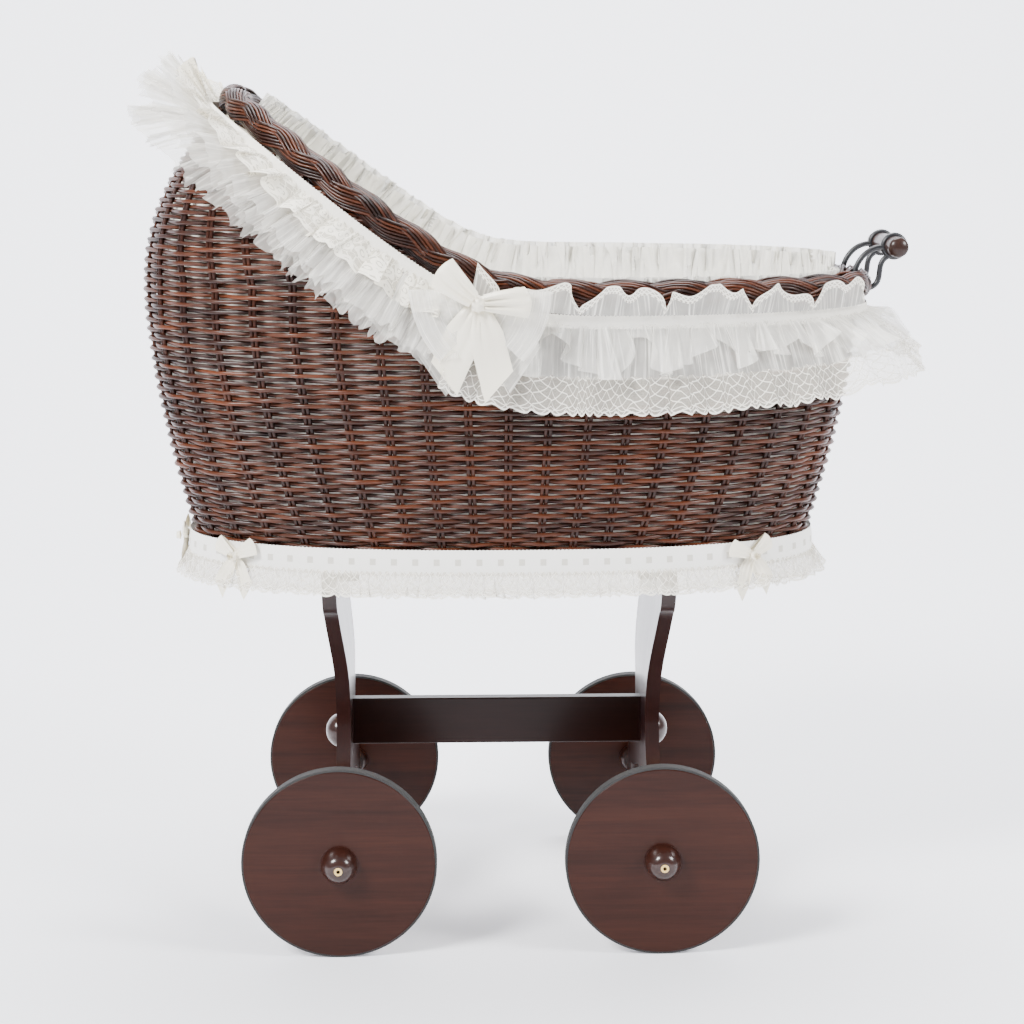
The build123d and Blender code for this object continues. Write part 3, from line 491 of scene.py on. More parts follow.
luck = np.random.default_rng(11)
fine_angle = np.linspace(0, 2 * math.pi, 1441)
rim_outline = wall_point(fine_angle, rim_z)
outline_run = np.concatenate([[0], np.cumsum(np.linalg.norm(np.diff(rim_outline, axis=0), axis=1))])
stake_at = outline_run / outline_run[-1] * stake_count
rim_over = rim_point(fine_angle, wall_thick / 2)[:, 2] - 0.45 * braid_radius
row_angle = np.interp(np.arange(0, stake_count, 1 / samples_per_stake), stake_at, fine_angle)


def outward_at(points, angle, z):
    """Horizontal direction out of the wall."""
    ahead = wall_point(angle + 0.004, z) - wall_point(angle - 0.004, z)
    return unit(np.stack([ahead[:, 1], -ahead[:, 0], np.zeros(len(angle))], -1))


def zigzag(turn):
    """Straight runs from in front of one stake to behind the next, rounded at the stakes."""
    return np.arcsin(0.94 * np.cos(math.pi * turn)) / 1.223


rows = []
row_count = int((crest_z - 0.006 - base_z) / row_pitch)
for k in range(row_count):
    z = base_z + (k + 0.5) * row_pitch
    inside = np.interp(row_angle, fine_angle, rim_over) > z
    if not inside.any():
        continue
    whole = bool(inside.all())
    angle = row_angle if whole else row_angle[inside]
    if len(angle) < 4:
        continue
    turn = np.interp(angle, fine_angle, stake_at)
    level = z + 0.0005 * np.sin(turn * 1.7 + k) * luck.uniform(0.3, 1)
    points = wall_point(angle, np.minimum(level, crest_z - 0.003), wall_thick / 2)
    rows.append({"points": points, "outward": outward_at(points, angle, points[:, 2]),
                 "weave": zigzag(turn + k), "girth": luck.uniform(0.86, 1.08),
                 "tone": np.clip(luck.normal(0.6, 0.16) + 0.12 * np.sin(turn * 0.9 + k * 1.3), 0.1, 1.2),
                 "closed": whole})
body_rows = make_rods("woven_rods", rows, willow_finish,
                      **{"Rod Radius": rod_radius, "Weave Depth": weave_depth, "Sides": 6, "Wander": 0.0002})

stakes = []
for k in range(stake_count):
    angle = float(np.interp(k, stake_at, fine_angle))
    top = float(np.interp(angle, fine_angle, rim_over))
    z = np.linspace(base_z + 0.001, top, 26)
    for step in (-0.0018, 0.0018):
        points = wall_point(np.full(26, angle), z, wall_thick / 2)
        points = points + outward_at(points, np.full(26, angle), z)[:,
                                                                    [1, 0, 2]] * np.array([-step, step, 0])
        stakes.append({"points": points, "outward": np.zeros((26, 3)), "weave": 0.0, "girth": 0.9,
                       "tone": luck.uniform(0.3, 0.6)})
wall_stakes = make_rods("willow_stakes", stakes, willow_finish, **{"Sides": 6, "Wander": 0.0})
for piece in (body_rows, wall_stakes):
    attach(piece, "root")
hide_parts("basket_wall")

# ---------------------------------------------------------------- plaited rim
# The stakes end in a three-ply plait that covers the wall's edge, seven thin rods
# side by side in each ply.
ply_count, rods_per_ply = 3, 7
plait_pitch = 0.135
plait_swing = 0.0076
ply_half = 0.0068
plait_tube = 0.0104
plait_lift = 0.0017
plait_rod = 0.0013


def lay_out(frames, start, end, step, far_turn=0):
    """Even columns along a line: run, and place, outward, upward and forward directions at each."""
    fine = np.linspace(start, end, 1441)
    place = frames(fine)[0]
    run = np.concatenate([[0], np.cumsum(np.linalg.norm(np.diff(place, axis=0), axis=1))])
    even = np.linspace(0, run[-1], max(int(run[-1] / step), 8) + 1)
    angle = np.interp(even, run, fine)
    return even, angle, *frames(angle)


run, at, place, out, up, along = (values[:-1] for values in lay_out(rim_frame, 0, 2 * math.pi, 0.0037))
whole_run = run[-1] + run[1]
turns = round(whole_run / plait_pitch)
plait = []
for side in (1, -1):
    for ply in range(ply_count):
        phase = side * 2 * math.pi * turns * run / whole_run + 2 * math.pi * ply / ply_count
        slope = side * plait_swing * 2 * math.pi / plait_pitch * np.cos(phase)
        for rod in range(rods_per_ply):
            beside = (rod / (rods_per_ply - 1) * 2 - 1) * ply_half
            across = plait_swing * np.sin(phase) + beside / np.sqrt(1 + slope ** 2)
            slid = -beside * slope / np.sqrt(1 + slope ** 2)
            reach = plait_tube + plait_lift * np.sin(2 * phase)
            wrap = across / plait_tube
            sideways = (side * reach * np.cos(wrap))[:, None]
            upwards = (reach * np.sin(wrap))[:, None]
            points = place + out * sideways + up * upwards + along * slid[:, None]
            plait.append({"points": points, "outward": np.zeros_like(points), "weave": 0.0,
                          "girth": luck.uniform(0.85, 1.1), "tone": luck.uniform(0.0, 0.85), "closed": True})
braid = make_rods("plaited_rim", plait, willow_finish,
                  **{"Rod Radius": plait_rod, "Weave Depth": 0.0, "Sides": 4, "Wander": 0.0002})
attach(braid, "root")
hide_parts("braid_rim")

# ---------------------------------------------------------------- lining
# Cream cotton gathered down the inside of the wall and stitched under the rim,
# with a fluffy ruffle standing along the stitch line.


def drift(seed, size, waves=7):
    """A slow, seeded wander along a line, about -1 to 1, with features of the given size."""
    chance = np.random.default_rng(seed)
    parts = [(chance.uniform(0.45, 1.9), chance.uniform(0, 2 * math.pi)) for _ in range(waves)]
    return lambda run: sum(np.sin(2 * math.pi * run / size * f + p) for f, p in parts) / math.sqrt(waves)


def make_sheet(name, points, cloth, finish):
    """A cloth surface from rows of points, with the cloth's own metres as its UV map."""
    columns, rows = points.shape[:2]
    index = np.arange(columns * rows).reshape(columns, rows)
    faces = np.stack([index[:-1, :-1], index[1:, :-1], index[1:, 1:], index[:-1, 1:]], -1).reshape(-1, 4)
    mesh = bpy.data.meshes.new(name)
    mesh.from_pydata(points.reshape(-1, 3).tolist(), [], faces.tolist())
    mesh.polygons.foreach_set("use_smooth", [True] * len(mesh.polygons))
    layer = mesh.uv_layers.new(name="cloth")
    layer.data.foreach_set("uv", cloth.reshape(-1, 2)[faces.ravel()].astype(np.float32).ravel())
    mesh.materials.append(finish)
    piece = bpy.data.objects.new(name, mesh)
    bpy.context.scene.collection.objects.link(piece)
    return piece


def together(name, pieces):
    """Joins several sheets into one object."""
    merged, mesh = bmesh.new(), bpy.data.meshes.new(name)
    for material in {m.name: m for p in pieces for m in p.data.materials}.values():
        mesh.materials.append(material)
    slots = [m.name for m in mesh.materials]
    for p in pieces:
        first = len(merged.faces)
        merged.from_mesh(p.data)
        merged.faces.ensure_lookup_table()
        for face in merged.faces[first:]:
            face.material_index = slots.index(p.data.materials[0].name)
        bpy.data.objects.remove(p)
    merged.to_mesh(mesh)
    merged.free()
    piece = bpy.data.objects.new(name, mesh)
    bpy.context.scene.collection.objects.link(piece)
    return piece


def hang_cloth(piece, replaces=None):
    """Attaches a sewn sheet to the root, and hides the CAD piece it replaces."""
    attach(piece, "root")
    if replaces:
        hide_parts(replaces)


def woven_cloth(name, color, threads=1500.0, relief=0.25, roughness=0.85, alpha=1.0, creases=0.0):
    """Plain cloth: fine crossed threads in relief, and a density that varies with its small creases."""
    finish, shader = shaded(name, Roughness=roughness, Sheen_Weight=0.25)
    tree = finish.node_tree
    place = tree.nodes.new("ShaderNodeUVMap")
    warp = add_node(tree, "ShaderNodeTexWave", [("Scale", threads / 6.283)], bands_direction="X")
    weft = add_node(tree, "ShaderNodeTexWave", [("Scale", threads / 6.283)], bands_direction="Y")
    crossed = add_node(tree, "ShaderNodeMath", operation="MULTIPLY")
    mottle = add_node(tree, "ShaderNodeTexNoise", [("Scale", 45.0), ("Detail", 4.0)])
    tint = add_node(tree, "ShaderNodeMix", data_type="RGBA")
    tint.inputs[6].default_value = (*[c * 0.93 for c in color], 1)
    tint.inputs[7].default_value = (*color, 1)
    bump = add_node(tree, "ShaderNodeBump", [("Strength", relief), ("Distance", 0.0003)])
    density = add_node(tree, "ShaderNodeMapRange",
                       [("From Min", 0.3), ("From Max", 0.7), ("To Min", alpha * 0.85),
                                                    ("To Max", min(alpha * 1.15, 1.0))])
    for a, b in [(place.outputs[0], warp.inputs["Vector"]), (place.outputs[0], weft.inputs["Vector"]),
                 (place.outputs[0], mottle.inputs["Vector"]), (warp.outputs["Fac"], crossed.inputs[0]),
                 (weft.outputs["Fac"], crossed.inputs[1]), (mottle.outputs["Fac"], tint.inputs[0]),
                 (tint.outputs[2], shader.inputs["Base Color"]), (crossed.outputs[0], bump.inputs["Height"]),
                 (bump.outputs[0], shader.inputs["Normal"]),
                 (mottle.outputs["Fac"], density.inputs["Value"])]:
        tree.links.new(a, b)
    if alpha < 1:
        drawn = add_node(tree, "ShaderNodeMapping", [("Scale", (420.0, 14.0, 1.0))])
        lines = add_node(tree, "ShaderNodeTexNoise", [("Scale", 1.0), ("Detail", 3.0), ("Roughness", 0.6)])
        sharp = add_node(tree, "ShaderNodeMapRange", [("From Min", 0.5), ("From Max", 0.78), ("To Min", 0.0),
                                                      ("To Max", creases)])
        summed = add_node(tree, "ShaderNodeMath", operation="ADD", use_clamp=True)
        for a, b in [(place.outputs[0], drawn.inputs["Vector"]), (drawn.outputs[0], lines.inputs["Vector"]),
                     (lines.outputs["Fac"], sharp.inputs["Value"]), (sharp.outputs[0], summed.inputs[0]),
                     (density.outputs[0], summed.inputs[1]), (summed.outputs[0], shader.inputs["Alpha"])]:
            tree.links.new(a, b)
    return finish


cream_cotton = woven_cloth("cream_cotton", (0.93, 0.90, 0.81))
ruffle_cotton = woven_cloth("ruffle_muslin", (0.94, 0.925, 0.87), alpha=0.93)

columns = np.linspace(0, 2 * math.pi, 901)
wall_run = np.interp(columns, fine_angle, outline_run)
lining_top = rim_point(columns, wall_thick / 2)[:, 2] - 0.012
depth = np.linspace(0, 1, 36)
gather = drift(3, 0.04)
lining_points = np.zeros((len(columns), len(depth), 3))
for j, t in enumerate(depth):
    z = lining_top + (base_z + 0.002 - lining_top) * t
    fold = 0.0009 * np.sin(2 * math.pi * wall_run / 0.011 + 2 * gather(wall_run)) * (1 - 0.55 * t)
    lining_points[:, j] = wall_point(columns, z, wall_thick + 0.0036)
    lining_points[:, j] -= unit(lining_points[:, j] - [basket_x, 0, 0.5])[:, :] * (fold[:, None] * [1, 1, 0])
lining_points[-1] = lining_points[0]
lining_cloth = np.stack(np.broadcast_arrays(wall_run[:, None] * 1.2, depth[None, :] * 0.24), -1)
lining = make_sheet("cotton_lining", lining_points[::-1], lining_cloth[::-1], cream_cotton)
hang_cloth(lining, replaces="lining")


def frill(line, drop, lean, root, pitch, swing, seed, rows=14, scallop=(0.0125, 0.0), reach=(0.0, 1.0),
          fullness=1.7,
          lift_out=1.0, sway=0.5, crisp=0.0, relax=0.0, pucker=0.0012, opening=0.75):
    """A gathered strip hanging from a line: folds open towards the hem. Gives points and cloth metres."""
    run, angle, place, out, up, along = line
    wander, size, tilt = drift(seed, pitch * 3.5), drift(seed + 1, pitch * 2.3), drift(seed + 2, pitch * 4.1)
    turn = 2 * math.pi * run / pitch + 1.5 * wander(run)
    height = np.clip(1 + 0.38 * size(run), 0.35, 1.7)
    cloth_run = run * fullness
    total = drop - scallop[1] * (1 - abs(np.sin(math.pi * cloth_run / scallop[0])))
    points = np.zeros((len(run), rows, 3))
    cloth = np.zeros((len(run), rows, 2))
    for j, t in enumerate(np.linspace(*reach, rows)):
        wave = np.sin(turn) + crisp * 0.34 * np.sin(3 * turn + 0.6) + 0.3 * np.sin(2 * turn + 1.1 + 2 * t)
        depth_here = swing * height * t ** opening * (1 - relax * t * t)
        fold = depth_here * (wave + lift_out)
        fold = fold + pucker * np.sin(2 * math.pi * run / 0.0052 + 2 * wander(run)) * (1 - t) ** 2
        beside = sway * depth_here * np.sin(2 * turn + 0.4) + 0.10 * drop * t * tilt(run)
        leaned = lean + 0.07 * t * size(run * 1.3)
        far = total * t
        points[:, j] = (place + out * (root[0] + np.sin(leaned) * far + np.cos(leaned) * fold)[:, None]
                        + up * (root[1] - np.cos(leaned) * far + np.sin(leaned) * fold)[:, None]
                        + along * beside[:, None])
        cloth[:, j, 0], cloth[:, j, 1] = cloth_run, total * (1 - t)
    return points, cloth


ruffle_line = lay_out(rim_frame, 0, 2 * math.pi, 0.0016)
far_side = np.sin(ruffle_line[1]) < 0
ruffles = []
for layer, (tall, seed) in enumerate([(0.028, 21), (0.024, 27)]):
    height = np.where(far_side, tall + 0.005, tall - 0.007)
    points, cloth = frill(ruffle_line, height, math.radians(180), (-0.0185 - 0.0012 * layer, -0.0095),
                          0.0115,
                          0.0029, seed, rows=9, fullness=2.2, lift_out=-0.2, sway=0.9)
    points[-1] = points[0]
    ruffles.append(make_sheet(f"ruffle_{layer}", points, cloth, ruffle_cotton))
ruffle = together("lining_ruffle", ruffles)
hang_cloth(ruffle, replaces="lining_frill")

# ---------------------------------------------------------------- hood frill
# Three stiff layers of tulle fan out from the hood's rim, under a gathered flounce
# of flowered lace, its top covered by a narrow braid with picots.
bow_x, seam_low, seam_top, seam_out = -0.057, -0.0247, -0.0152, 0.0067
hang_side, hang_crest, hang_foot = math.radians(8), math.radians(82), math.radians(50)


def lean_at(angle):
    """How far the frills stand away from the wall, in radians from straight down the rim's side."""
    end = np.where(np.cos(angle) > 0, hang_foot, hang_crest)
    return hang_side + (end - hang_side) * abs(np.cos(angle)) ** 4


def shoulder(angle):
    """The frills are eased out over the turn of the hood."""
    bend = np.degrees(np.where(angle > math.pi, 2 * math.pi - angle, angle))
    return 0.0085 * np.exp(-((bend - 153) / 18) ** 2)


def eased(line, way=1.0):
    """A line moved out over the turn of the hood."""
    run, angle, place, out, up, along = line
    return run, angle, place + out * (shoulder(angle) * way)[:, None], out, up, along


near_bow = float(np.interp(-bow_x, -rim_point(np.linspace(0.5, 2.6, 400), wall_thick / 2)[:, 0],
                           np.linspace(0.5, 2.6, 400)))
hood_line = eased(lay_out(rim_frame, near_bow, 2 * math.pi - near_bow, 0.0012))
tulle = woven_cloth("stiff_tulle", (0.95, 0.925, 0.86), threads=2600.0, relief=0.15, alpha=0.34,
                    creases=0.55)
crest_share = abs(np.cos(hood_line[1])) ** 4
layers = []
for layer, (drop, seed, pitch, fan) in enumerate([(0.060, 31, 0.015, -0.75), (0.056, 37, 0.012, -0.30),
                                                  (0.052, 43, 0.014, 0.1)]):
    ease = np.sin(np.clip((hood_line[1] - near_bow) / 0.12, 0, 1) * math.pi / 2) * np.sin(
        np.clip((2 * math.pi - near_bow - hood_line[1]) / 0.12, 0, 1) * math.pi / 2)
    ragged = 1 + 0.05 * drift(seed + 5, 0.009)(hood_line[0]) + 0.05 * crest_share
    points, cloth = frill(hood_line, drop * (0.9 + 0.1 * ease) * ragged,
                          lean_at(hood_line[1]) + fan * crest_share
                          + 0.03 * layer, (seam_out + 0.0006 * layer, seam_low + 0.004), pitch, 0.0034, seed,
                          rows=12,
                          fullness=2.0, lift_out=1.0, sway=0.6, crisp=0.9)
    layers.append(make_sheet(f"tulle_{layer}", points, cloth, tulle))
tulle_frill = together("hood_tulle", layers)
hang_cloth(tulle_frill, replaces="hood_tulle_frill")

# Lace: a thread mask for a diamond net with knots, or flowers, over a fine ground,
# with corded edges; cloth metres in, alpha and relief out.
lace, lace_in, lace_out = node_group("needle_lace", [
    ("INPUT", "Vector", "Cloth", None), ("INPUT", "Float", "Cell", 0.0077),
                                                     ("INPUT", "Float", "Thread", 0.09),
    ("INPUT", "Float", "Ground", 0.3), ("INPUT", "Float", "Flowers", 0.0),
                                                     ("INPUT", "Float", "Cord", 0.0016),
    ("OUTPUT", "Float", "Alpha", None), ("OUTPUT", "Float", "Height", None),
                                                     ("OUTPUT", "Float", "Threads", None)])


def link(tree, *pairs):
    for a, b in pairs:
        tree.links.new(a, b)


def math_node(tree, operation, a, b=None, clamp=False):
    node = add_node(tree, "ShaderNodeMath", operation=operation, use_clamp=clamp)
    for socket, value in ((node.inputs[0], a), (node.inputs[1], b)):
        if value is None:
            continue
        if isinstance(value, (int, float)):
            socket.default_value = value
        else:
            tree.links.new(value, socket)
    return node.outputs[0]


parts = add_node(lace, "ShaderNodeSeparateXYZ")
link(lace, (lace_in.outputs["Cloth"], parts.inputs[0]))
cell = lace_in.outputs["Cell"]
rising = math_node(lace, "DIVIDE", math_node(lace, "ADD", parts.outputs[0], parts.outputs[1]), cell)
falling = math_node(lace, "DIVIDE", math_node(lace, "SUBTRACT", parts.outputs[0], parts.outputs[1]), cell)
rise = math_node(lace, "PINGPONG", rising, 0.5)
fall = math_node(lace, "PINGPONG", falling, 0.5)
net = math_node(lace, "LESS_THAN", math_node(lace, "MINIMUM", rise, fall), lace_in.outputs["Thread"])
knot = math_node(lace, "LESS_THAN", math_node(lace, "ADD", rise, fall), 0.15)
net = math_node(lace, "MAXIMUM", net, knot)
blooms = add_node(lace, "ShaderNodeTexVoronoi", [("Randomness", 0.7)], voronoi_dimensions="2D")
webs = add_node(lace, "ShaderNodeTexVoronoi", [("Randomness", 0.9)], voronoi_dimensions="2D",
                feature="DISTANCE_TO_EDGE")
bloom_scale = math_node(lace, "DIVIDE", 1.0, cell)
link(lace, (lace_in.outputs["Cloth"], blooms.inputs["Vector"]), (bloom_scale, blooms.inputs["Scale"]),
     (lace_in.outputs["Cloth"], webs.inputs["Vector"]),
     (math_node(lace, "MULTIPLY", bloom_scale, 2.1), webs.inputs["Scale"]))
petals = math_node(lace, "LESS_THAN", math_node(lace, "ABSOLUTE", math_node(
    lace, "SUBTRACT", blooms.outputs["Distance"], 0.33)), 0.12)
heart_dot = math_node(lace, "LESS_THAN", blooms.outputs["Distance"], 0.13)
web = math_node(lace, "LESS_THAN", webs.outputs["Distance"], 0.06)
flowers = math_node(lace, "MAXIMUM", math_node(lace, "MAXIMUM", petals, heart_dot), web)
kind = add_node(lace, "ShaderNodeMix", data_type="FLOAT")
link(lace, (lace_in.outputs["Flowers"], kind.inputs[0]), (net, kind.inputs[2]), (flowers, kind.inputs[3]))
hem = math_node(lace, "LESS_THAN", parts.outputs[1], lace_in.outputs["Cord"])
second = math_node(lace, "LESS_THAN", math_node(lace, "ABSOLUTE", math_node(
    lace, "SUBTRACT", parts.outputs[1], 0.0042)), 0.0004)
threads = math_node(lace, "MAXIMUM", math_node(lace, "MAXIMUM", kind.outputs[0], hem), second)
ground_noise = add_node(lace, "ShaderNodeTexNoise", [("Scale", 900.0), ("Detail", 2.0)])
link(lace, (lace_in.outputs["Cloth"], ground_noise.inputs["Vector"]))
ground_alpha = math_node(lace, "MULTIPLY", lace_in.outputs["Ground"],
                         math_node(lace, "ADD", ground_noise.outputs["Fac"], 0.5))
link(lace, (math_node(lace, "MAXIMUM", math_node(lace, "MULTIPLY", threads, 0.95), ground_alpha, True),
            lace_out.inputs["Alpha"]), (threads, lace_out.inputs["Threads"]),
     (math_node(lace, "ADD", threads, math_node(lace, "MULTIPLY", ground_noise.outputs["Fac"], 0.3)),
      lace_out.inputs["Height"]))


def lacy(name, color, **pattern):
    """Lace cloth: the thread pattern is its alpha and its relief; the ground between the threads is painted
    darker and warmer, as painted shade beside the raised threads.
    """
    finish, shader = shaded(name, Roughness=0.75, Sheen_Weight=0.2)
    tree = finish.node_tree
    place = tree.nodes.new("ShaderNodeUVMap")
    # Painted shade: the net ground is coloured darker and warmer than the threads, as if shaded by them.
    tint = add_node(tree, "ShaderNodeMix", data_type="RGBA")
    tint.inputs[6].default_value = (color[0] * 0.86, color[1] * 0.84, color[2] * 0.80, 1)
    tint.inputs[7].default_value = (*color, 1)
    pattern_node = add_node(tree, "ShaderNodeGroup", node_tree=lace)
    for key, value in pattern.items():
        pattern_node.inputs[key].default_value = value
    bump = add_node(tree, "ShaderNodeBump", [("Strength", 0.9), ("Distance", 0.0006)])
    link(tree, (place.outputs[0], pattern_node.inputs["Cloth"]),
         (pattern_node.outputs["Alpha"], shader.inputs["Alpha"]),
         (pattern_node.outputs["Threads"], tint.inputs[0]),
         (tint.outputs[2], shader.inputs["Base Color"]),
         (pattern_node.outputs["Height"], bump.inputs["Height"]), (bump.outputs[0], shader.inputs["Normal"]))
    return finish


flower_lace = lacy("flowered_lace", (0.95, 0.905, 0.78), Cell=0.0105, Flowers=1.0, Ground=0.62, Cord=0.002)
points, cloth = frill(hood_line, 0.031 + 0.010 * crest_share,
                      lean_at(hood_line[1]) + 0.10 + 0.16 * crest_share,
                      (seam_out + 0.0018, seam_low + 0.004), 0.030, 0.0058, 41, rows=14,
                      scallop=(0.011, 0.0028),
                      fullness=1.75, lift_out=1.05, sway=0.9, opening=0.55, pucker=0.0018)
flounce = make_sheet("hood_flounce", points, cloth, flower_lace)
hang_cloth(flounce, replaces="hood_lace_flounce")

# ---------------------------------------------------------------- rim braid
# A flat woven tape with a raised picot along both edges covers the frills' stitching.
tape_finish = woven_cloth("woven_tape", (0.95, 0.915, 0.82), threads=3200.0, relief=0.5)
tape_line = eased(lay_out(rim_frame, 0, 2 * math.pi, 0.0010))
tape_rows = np.linspace(0, 1, 9)
tape_points = np.zeros((len(tape_line[0]), len(tape_rows), 3))
tape_cloth = np.zeros((len(tape_line[0]), len(tape_rows), 2))
for j, t in enumerate(tape_rows):
    picot = 0.0009 * abs(np.sin(math.pi * tape_line[0] / 0.0027)) * (1 if j in (0, 8) else 0)
    side = seam_top + 0.0004 + (picot if j == 0 else 0) - (0.0095 + (picot if j == 8 else 0)) * t
    ripple = 0.0005 * np.sin(math.pi * tape_line[0] / 0.0027) * (j in (1, 7))
    bulge = 0.0030 + 0.0011 * math.sin(math.pi * t) + ripple
    tape_points[:, j] = tape_line[2] + tape_line[3] * (seam_out + bulge)[:, None]
    tape_points[:, j] += tape_line[4] * np.broadcast_to(side, len(tape_line[0]))[:, None]
    tape_cloth[:, j] = np.stack([tape_line[0], np.full(len(tape_line[0]), 0.0095 * (1 - t))], -1)
tape_points[-1] = tape_points[0]
tape = make_sheet("rim_braid_tape", tape_points, tape_cloth, tape_finish)
hang_cloth(tape, replaces="rim_tape")

# ---------------------------------------------------------------- foot frill
# Sheer organza gathered round the foot end, with a netted and scalloped lace
# border sewn to its hem and a lace-edged heading standing in loops over the rim.
organza = woven_cloth("sheer_organza", (0.95, 0.925, 0.85), threads=2200.0, relief=0.1, roughness=0.45,
                      alpha=0.40, creases=0.75)
net_lace = lacy("netted_lace", (0.95, 0.915, 0.82), Cell=0.0088, Thread=0.055, Ground=0.40)
organza_drop, border_drop = 0.044, 0.029
whole_drop = organza_drop + border_drop


def foot_line(step, near_end):
    """The rim's line round the foot, from the far bow to the near bow."""
    return lay_out(rim_frame, -near_end, near_end, step)


line = foot_line(0.0013, near_bow)
shape = dict(pitch=0.034, swing=0.0042, seed=53, fullness=1.35, lift_out=1.1, sway=0.7, crisp=0.5,
             relax=0.5)
split = organza_drop / whole_drop
points, cloth = frill(line, whole_drop, lean_at(line[1]), (seam_out + 0.0004, seam_low + 0.004), rows=14,
                      reach=(0.0, split), **shape)
organza_frill = make_sheet("foot_organza", points, cloth, organza)
hang_cloth(organza_frill, replaces="foot_organza_frill")
points, cloth = frill(line, whole_drop, lean_at(line[1]), (seam_out + 0.0006, seam_low + 0.004), rows=11,
                      reach=(split - 0.015, 1.0), scallop=(0.0125, 0.0036), **shape)
border = make_sheet("foot_border", points, cloth, net_lace)
hang_cloth(border, replaces="foot_lace_border")
tangle = 0.030 + 0.013 * drift(91, 0.05)(line[0])
points, cloth = frill(line, np.clip(tangle, 0.012, 0.046), lean_at(line[1]) + 0.12,
                      (seam_out + 0.0014, seam_low + 0.005), 0.024, 0.0044, 59, rows=12,
                      fullness=1.9, lift_out=1.1, sway=1.2, crisp=0.7)
overlay = make_sheet("foot_organza_over", points, cloth, organza)
hang_cloth(overlay)

# The heading: sheer loops that rise and dip along the rim, their free edge trimmed with lace.
edging = lacy("heading_edging", (0.95, 0.915, 0.82), Cell=0.0036, Thread=0.16, Ground=0.45, Cord=0.0014)
heading_gap = 0.24
headings, edgings = [], []
for way in (1, -1):
    line = lay_out(rim_frame, way * heading_gap, way * near_bow, 0.0012)
    run, angle, place, out, up, along = line
    along = along * way
    rise_wander, lean_wander = drift(61 + way, 0.11), drift(67 + way, 0.05)
    loop = abs(np.sin(math.pi * run / 0.062 + 0.5 * rise_wander(run)))
    height = 0.004 + 0.0205 * loop ** 0.7 * np.clip(0.85 + 0.25 * lean_wander(run), 0.45, 1.0)
    edge_band = 0.0062
    for label, finish, bag in (("sheer", organza, headings), ("edge", edging, edgings)):
        low = np.zeros_like(height) if label == "sheer" else np.maximum(height - edge_band, 0.0005)
        rows_here = np.linspace(0, 1, 9 if label == "sheer" else 6)
        pts = np.zeros((len(run), len(rows_here), 3))
        cl = np.zeros((len(run), len(rows_here), 2))
        for j, t in enumerate(rows_here):
            h = low + (height - low) * t
            share = h / 0.024
            ripple = np.sin(2 * math.pi * run / 0.031 + lean_wander(run))
            bend = 0.0165 + 0.0022 * share + 0.0026 * share * ripple
            wave = 0.0045 * share * np.sin(2 * math.pi * run / 0.062 * 1.5 + 1.0 + rise_wander(run))
            pts[:, j] = (place + out * (bend + (0.0003 if label == "edge" else 0))[:, None]
                         + up * (seam_top + 0.0022 + h)[:, None] + along * wave[:, None])
            cl[:, j, 0], cl[:, j, 1] = run * 1.3, height - h
        if way > 0:
            pts, cl = pts[::-1], cl[::-1]
        bag.append(make_sheet(f"heading_{label}_{way}", pts, cl, finish))
heading = together("foot_heading", headings + edgings)
hang_cloth(heading, replaces="foot_lace_heading")

# ---------------------------------------------------------------- skirt
# A beading tape is sewn round the basket's foot, with a pleated netted lace
# hanging from it; the tape's small holes, meant for a ribbon, are drawn as sunken slots.
skirt_tape_low = 0.315


def skirt_frame(angle):
    """Place, outward, upward and forward directions round the basket's foot."""
    angle = np.asarray(angle, float)
    z = np.full(angle.shape, skirt_tape_low + 0.011)
    place = wall_point(angle, z)
    along = unit(wall_point(angle + 0.01, z) - wall_point(angle - 0.01, z))
    out = unit(np.stack([along[..., 1], -along[..., 0], along[..., 2] * 0], -1))
    out = np.where((out * (place - [basket_x, 0, 0]))[..., :2].sum(-1)[..., None] < 0, -out, out)
    return place, out, np.broadcast_to([0.0, 0.0, 1.0], place.shape), along


skirt_line = lay_out(skirt_frame, 0, 2 * math.pi, 0.0011)
beading, beading_shader = shaded("beading_tape", Base_Color=(0.93, 0.915, 0.86, 1), Roughness=0.7,
                                 Sheen_Weight=0.25)
beading_place = beading.node_tree.nodes.new("ShaderNodeUVMap")
beading_parts = add_node(beading.node_tree, "ShaderNodeSeparateXYZ")
link(beading.node_tree, (beading_place.outputs[0], beading_parts.inputs[0]))
slot_x = math_node(beading.node_tree, "LESS_THAN", math_node(beading.node_tree, "PINGPONG", math_node(
    beading.node_tree, "DIVIDE", beading_parts.outputs[0], 0.0172), 0.5), 0.14)
slot_y = math_node(beading.node_tree, "LESS_THAN", math_node(beading.node_tree, "ABSOLUTE", math_node(
    beading.node_tree, "SUBTRACT", beading_parts.outputs[1], 0.0105)), 0.0026)
holes = math_node(beading.node_tree, "MULTIPLY", slot_x, slot_y)
# Painted shade: the slots are coloured a darker cream than the tape, the shade inside the holes, and sunk by
# the bump.
beading_hole_shade = add_node(beading.node_tree, "ShaderNodeMix", data_type="RGBA")
beading_hole_shade.inputs[6].default_value = (0.93, 0.915, 0.86, 1)
beading_hole_shade.inputs[7].default_value = (0.62, 0.59, 0.52, 1)
beading_bump = add_node(beading.node_tree, "ShaderNodeBump", [("Strength", 0.7), ("Distance", 0.0006)])
beading_bump.invert = True
link(beading.node_tree, (holes, beading_hole_shade.inputs[0]), (holes, beading_bump.inputs["Height"]),
     (beading_hole_shade.outputs[2], beading_shader.inputs["Base Color"]),
     (beading_bump.outputs[0], beading_shader.inputs["Normal"]))
run, angle, place, out, up, along = skirt_line
beading_rows = np.linspace(0, 1, 11)
points = np.zeros((len(run), len(beading_rows), 3))
cloth = np.zeros((len(run), len(beading_rows), 2))
